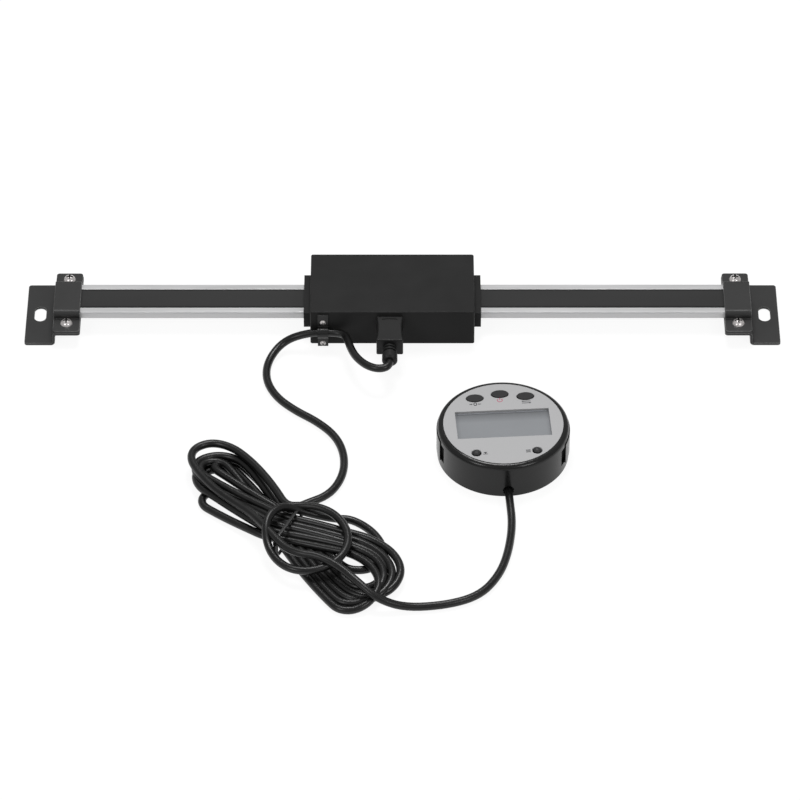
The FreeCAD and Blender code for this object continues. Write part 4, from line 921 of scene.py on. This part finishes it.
class SCALE_OT_cable(bpy.types.Operator):
    """The cable from the plug through the hank to the readout, on one smooth spline"""
    bl_idname = "scale.cable"
    bl_label = "Cable and hank"

    def execute(self, context):
        settings = context.scene.scale_cable
        route = cable_route(settings)
        curve = bpy.data.curves.new("cable", "CURVE")
        curve.dimensions = "3D"
        curve.bevel_depth = settings.diameter / 2
        curve.bevel_resolution = CABLE_SIDES
        curve.use_fill_caps = True
        curve.resolution_u = CABLE_STEPS
        spline = curve.splines.new("NURBS")
        spline.points.add(len(route) - 1)
        for point, place in zip(spline.points, route):
            point.co = (*place, 1.0)
        spline.order_u = 3
        spline.use_endpoint_u = True
        cable = bpy.data.objects.new("cable", curve)
        context.collection.objects.link(cable)
        curve.materials.append(cable_finish(context.scene.scale_finish.cable))
        rides_on(cable, "head")
        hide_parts("cable_lead", "cable_hank", "cable_tail")
        return {"FINISHED"}


# The tie: places along and across the hank and heights in millimetres, its sizes in metres
TIE_PLACE = (5.4, -2.5, 6.0)
TIE_SLANT = math.radians(22.0)
TIE_SPAN, TIE_RISE = 0.0276, 0.0112
TIE_WIDTH, TIE_THICKNESS = 0.0015, 0.0007
TIE_ROUND, TIE_ROUND_STEPS = 0.003, 6
TIE_DROP = 0.0022    # how much lower the top of the band is at one of its sides
TWIST_ROOT, TWIST_TIP = (10.0, -15.0, 8.4), (12.4, -18.0, 6.4)
TWIST_STEP, TWIST_STEPS, TWIST_ANGLE = 0.0006, 9, math.radians(38.0)
QUARTER_TURN = math.radians(90.0)


def model_tie_band(place, across, material):
    """The flat band round the waist: a rounded outline, drawn out to its width."""
    band = flat_plate(TIE_SPAN, TIE_RISE)
    band.name = "tie_band"
    bpy.ops.mesh.bevel(offset=TIE_ROUND, segments=TIE_ROUND_STEPS, affect="VERTICES")
    select_points(band, lambda point: point.x > 0.0 and point.y > 0.0)
    bpy.ops.transform.translate(value=(0.0, -TIE_DROP, 0.0))
    bpy.ops.mesh.select_all(action="SELECT")
    bpy.ops.mesh.delete(type="ONLY_FACE")
    bpy.ops.mesh.select_all(action="SELECT")
    bpy.ops.mesh.extrude_edges_move(TRANSFORM_OT_translate={"value": (0.0, 0.0, TIE_WIDTH)})
    bpy.ops.object.mode_set(mode="OBJECT")
    apply_modifier(band, "SOLIDIFY", thickness=TIE_THICKNESS, offset=0.0)
    apply_modifier(band, "BEVEL", width=TIE_THICKNESS / 4, segments=2)
    band.rotation_euler = (QUARTER_TURN, 0.0, across)
    band.location = place
    finish_piece(band, material)
    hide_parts("hank_tie")


def model_tie_ends(root, tip, material):
    """The band's two ends, twisted together: a short bar drawn out and turned step by step."""
    start_clean()
    bpy.ops.mesh.primitive_cube_add(size=1.0)
    ends = bpy.context.object
    ends.name = "tie_ends"
    bpy.ops.object.mode_set(mode="EDIT")
    bpy.ops.mesh.select_all(action="SELECT")
    bpy.ops.transform.resize(
        value=(TIE_WIDTH, TIE_THICKNESS, TWIST_STEP), center_override=ORIGIN)
    select_points(ends, lambda point: point.z > 0.0)
    for _ in range(TWIST_STEPS):
        bpy.ops.mesh.extrude_region_move(
            TRANSFORM_OT_translate={"value": (0.0, 0.0, TWIST_STEP)})
        bpy.ops.transform.rotate(value=TWIST_ANGLE, orient_axis="Z", center_override=ORIGIN)
    bpy.ops.object.mode_set(mode="OBJECT")
    apply_modifier(ends, "BEVEL", width=TIE_THICKNESS / 5, segments=2)
    ends.rotation_euler = (tip - root).to_track_quat("Z", "Y").to_euler()
    ends.location = root
    finish_piece(ends, material)


class SCALE_OT_hank_tie(bpy.types.Operator):
    """The thin tie pulled round the waist of the hank, and its twisted ends"""
    bl_idname = "scale.hank_tie"
    bl_label = "Hank tie"

    def execute(self, context):
        settings = context.scene.scale_cable
        from_hank = hank_frame(settings)
        across = settings.hank_turn + QUARTER_TURN + TIE_SLANT
        coated_wire = moulded(
            "tie_black", (0.016, 0.016, 0.016), roughness=0.35, specular=0.5, grain=1500.0,
            bump=0.04, edge=0.00015, wear_and_glint_tint=4.0)
        model_tie_band(from_hank @ Vector(TIE_PLACE), across, coated_wire)
        model_tie_ends(from_hank @ Vector(TWIST_ROOT), from_hank @ Vector(TWIST_TIP), coated_wire)
        return {"FINISHED"}


class SCALE_OT_readout(bpy.types.Operator):
    """Finishes of the readout's case, faceplate, display and back"""
    bl_idname = "scale.readout"
    bl_label = "Readout"

    def execute(self, context):
        finish = context.scene.scale_finish
        contacts = moulded(
            "contact_rubber", (0.25, 0.24, 0.22), roughness=0.6, specular=0.3, grain=1500.0,
            bump=0.1)
        switches = moulded(
            "switch_black", (0.03, 0.03, 0.03), roughness=0.4, specular=0.4, grain=1500.0,
            bump=0.1)
        back = moulded(
            "back_black", (0.018, 0.018, 0.018), roughness=0.5, specular=0.3, grain=1600.0,
            bump=0.15)
        back_steel = drawn_metal(
            "back_screw_steel", finish.steel, roughness=0.3, stretch=EVEN, grain=1200.0)
        cell_steel = drawn_metal(
            "cell_steel", (0.7, 0.69, 0.67), roughness=0.3, stretch=(0.2, 1.0, 1.0),
            grain=1000.0)
        bronze = drawn_metal(
            "contact_bronze", (0.7, 0.58, 0.36), roughness=0.3, stretch=(0.2, 1.0, 1.0),
            grain=1000.0)
        gland = moulded(
            "gland_rubber", (0.01, 0.01, 0.01), roughness=0.6, specular=0.2, grain=1500.0,
            bump=0.15)
        dress(case_finish(finish.case), "display_case")
        dress(faceplate_finish(finish.faceplate), "display_faceplate")
        dress(lcd_finish(finish.lcd), "lcd_panel")
        dress(window_finish(), "lcd_window")
        dress(contacts, "lcd_contacts")
        dress(circuit_finish("readout_circuit", (0.02, 0.10, 0.05)), "display_board")
        dress(switches, "button_switches")
        dress(back, "back_cover", "battery_door")
        dress(back_steel, "back_screws")
        dress(cell_steel, "coin_cell")
        dress(bronze, "cell_contacts")
        dress(gland, "cable_gland")
        return {"FINISHED"}


class SCALE_OT_keys(bpy.types.Operator):
    """Finishes of the readout's five keys"""
    bl_idname = "scale.keys"
    bl_label = "Keys"

    def execute(self, context):
        finish = context.scene.scale_finish
        oval = moulded(
            "oval_key", finish.key, roughness=0.42, specular=0.26, grain=1800.0, bump=0.06)
        dome = moulded(
            "round_key", tinted(finish.key, 1.25), roughness=0.46, specular=0.36, grain=900.0,
            bump=0.4)
        dress(oval, "zero_button", "power_button", "unit_button")
        dress(dome, "preset_button", "mode_button")
        return {"FINISHED"}


# Printed marks, in the mark's own metres

PRINT_THICKNESS = 0.00004
MARK_LINE = 0.0004
RING_POINTS = 40
ZERO_RING, ZERO_BAR, ZERO_ARROW = (0.0017, 0.0023), 0.0011, (0.0007, 0.001)
POWER_RING, POWER_GAP, POWER_BAR = (0.0027, 0.0027), 0.0006, 0.0014
UNIT_BAR, UNIT_ARROW = 0.0036, (0.0008, 0.0011)
PRESET_BAR, PRESET_ARROW = 0.0022, (0.0012, 0.0018)
MODE_BAR, MODE_PITCH = 0.0022, 0.0007
RIGHT, UP, LEFT, DOWN = 0.0, math.pi / 2, math.pi, -math.pi / 2


def put_down(stroke, place, turn):
    """Leaves edit mode and moves a drawn stroke to its place in the mark."""
    bpy.ops.object.mode_set(mode="OBJECT")
    stroke.location = (*place, 0.0)
    stroke.rotation_euler.z = turn
    settle(stroke)
    return stroke


def mark_ring(size, gap=0.0):
    """A drawn ring, open at its top where it has a gap."""
    start_clean()
    bpy.ops.mesh.primitive_circle_add(vertices=RING_POINTS, radius=0.5, fill_type="NGON")
    ring = bpy.context.object
    bpy.ops.object.mode_set(mode="EDIT")
    bpy.ops.mesh.select_all(action="SELECT")
    bpy.ops.transform.resize(value=(*size, 1.0), center_override=ORIGIN)
    bpy.ops.mesh.inset(thickness=MARK_LINE)
    bpy.ops.mesh.delete(type="FACE")
    if gap:
        select_points(ring, lambda point: abs(point.x) < gap and point.y > 0.0)
        bpy.ops.mesh.delete(type="VERT")
    bpy.ops.object.mode_set(mode="OBJECT")
    return ring


def mark_bar(length, place, turn=RIGHT):
    """A drawn bar with round ends."""
    bar = flat_plate(length, MARK_LINE)
    bpy.ops.mesh.bevel(offset=MARK_LINE * 0.4, segments=3, affect="VERTICES")
    return put_down(bar, place, turn)


def mark_arrow(size, place, turn):
    """A drawn arrowhead that points along its turn."""
    head = flat_plate(*size)
    select_points(head, lambda point: point.x > 0.0)
    bpy.ops.mesh.merge(type="CENTER")
    return put_down(head, place, turn)


def lay_print(name, strokes, place, material):
    """Joins a mark's strokes, gives them a print's thickness and lays them on the faceplate."""
    start_clean()
    for stroke in strokes:
        stroke.select_set(True)
    mark = strokes[0]
    bpy.context.view_layer.objects.active = mark
    if len(strokes) > 1:
        bpy.ops.object.join()
    mark.name = name
    apply_modifier(mark, "SOLIDIFY", thickness=PRINT_THICKNESS, offset=0.0)
    mark.rotation_euler.z = READOUT_TURN
    spot = Matrix.Rotation(READOUT_TURN, 4, "Z") @ Vector((*place, 0.0))
    mark.location = (READOUT_AXIS.x + spot.x, READOUT_AXIS.y + spot.y, FACE_HIGH.z)
    finish_piece(mark, material)


class SCALE_OT_key_marks(bpy.types.Operator):
    """Plain signs printed beside the keys"""
    bl_idname = "scale.key_marks"
    bl_label = "Key marks"

    def execute(self, context):
        finish = context.scene.scale_finish
        dark = moulded(
            "key_print", finish.ink, roughness=0.5, specular=0.3, grain=2400.0, bump=0.02,
            edge=0.00002, wear_and_glint_tint=1.2)
        red = moulded(
            "power_print", finish.power_ink, roughness=0.5, specular=0.3, grain=2400.0,
            bump=0.02, edge=0.00002, wear_and_glint_tint=1.1)
        lay_print("zero_mark", [
            mark_ring(ZERO_RING),
            mark_bar(ZERO_BAR, (-0.0022, 0.0)), mark_arrow(ZERO_ARROW, (-0.0015, 0.0), RIGHT),
            mark_bar(ZERO_BAR, (0.0022, 0.0)), mark_arrow(ZERO_ARROW, (0.0015, 0.0), LEFT),
        ], (-0.0119, 0.0143), dark)
        lay_print("power_mark", [
            mark_ring(POWER_RING, POWER_GAP), mark_bar(POWER_BAR, (0.0, 0.001), UP),
        ], (-0.0003, 0.0164), red)
        lay_print("unit_mark", [
            mark_bar(UNIT_BAR, (0.0003, 0.0006)),
            mark_arrow(UNIT_ARROW, (-0.0018, 0.0006), LEFT),
            mark_bar(UNIT_BAR, (-0.0003, -0.0006)),
            mark_arrow(UNIT_ARROW, (0.0018, -0.0006), RIGHT),
        ], (0.0119, 0.0143), dark)
        lay_print("preset_mark", [
            mark_bar(PRESET_BAR, (0.0, -0.0008)), mark_arrow(PRESET_ARROW, (0.0, 0.0), DOWN),
        ], (-0.0099, -0.0199), dark)
        lay_print("mode_mark", [
            mark_bar(MODE_BAR, (0.0, row * MODE_PITCH)) for row in (-1, 0, 1)
        ], (0.0099, -0.0199), dark)
        return {"FINISHED"}


# Panel and registration

class SCALE_PT_panel(bpy.types.Panel):
    """Lists the steps of the scale in the sidebar"""
    bl_idname = "SCALE_PT_panel"
    bl_label = "Linear Scale"
    bl_space_type = "VIEW_3D"
    bl_region_type = "UI"
    bl_category = "Linear Scale"

    def draw(self, context):
        column = self.layout.column(align=True)
        for operator in STEPS:
            column.operator(operator.bl_idname)


STEPS = (
    SCALE_OT_stage,
    SCALE_OT_rail,
    SCALE_OT_brackets,
    SCALE_OT_head,
    SCALE_OT_plug,
    SCALE_OT_cable,
    SCALE_OT_hank_tie,
    SCALE_OT_readout,
    SCALE_OT_keys,
    SCALE_OT_key_marks,
)
GROUPS = (
    ("scale_finish", ScaleFinishSettings),
    ("scale_cable", ScaleCableSettings),
    ("scale_stage", ScaleStageSettings),
)


def register():
    for name, group in GROUPS:
        bpy.utils.register_class(group)
        setattr(bpy.types.Scene, name, PointerProperty(type=group))
    for operator in STEPS:
        bpy.utils.register_class(operator)
    bpy.utils.register_class(SCALE_PT_panel)


def unregister():
    bpy.utils.unregister_class(SCALE_PT_panel)
    for operator in reversed(STEPS):
        bpy.utils.unregister_class(operator)
    for name, group in reversed(GROUPS):
        delattr(bpy.types.Scene, name)
        bpy.utils.unregister_class(group)


def main():
    register()
    bpy.ops.scale.stage()
    bpy.ops.scale.rail()
    bpy.ops.scale.brackets()
    bpy.ops.scale.head()
    bpy.ops.scale.plug()
    bpy.ops.scale.cable()
    bpy.ops.scale.hank_tie()
    bpy.ops.scale.readout()
    bpy.ops.scale.keys()
    bpy.ops.scale.key_marks()
    start_clean()


if __name__ == "__main__":
    main()
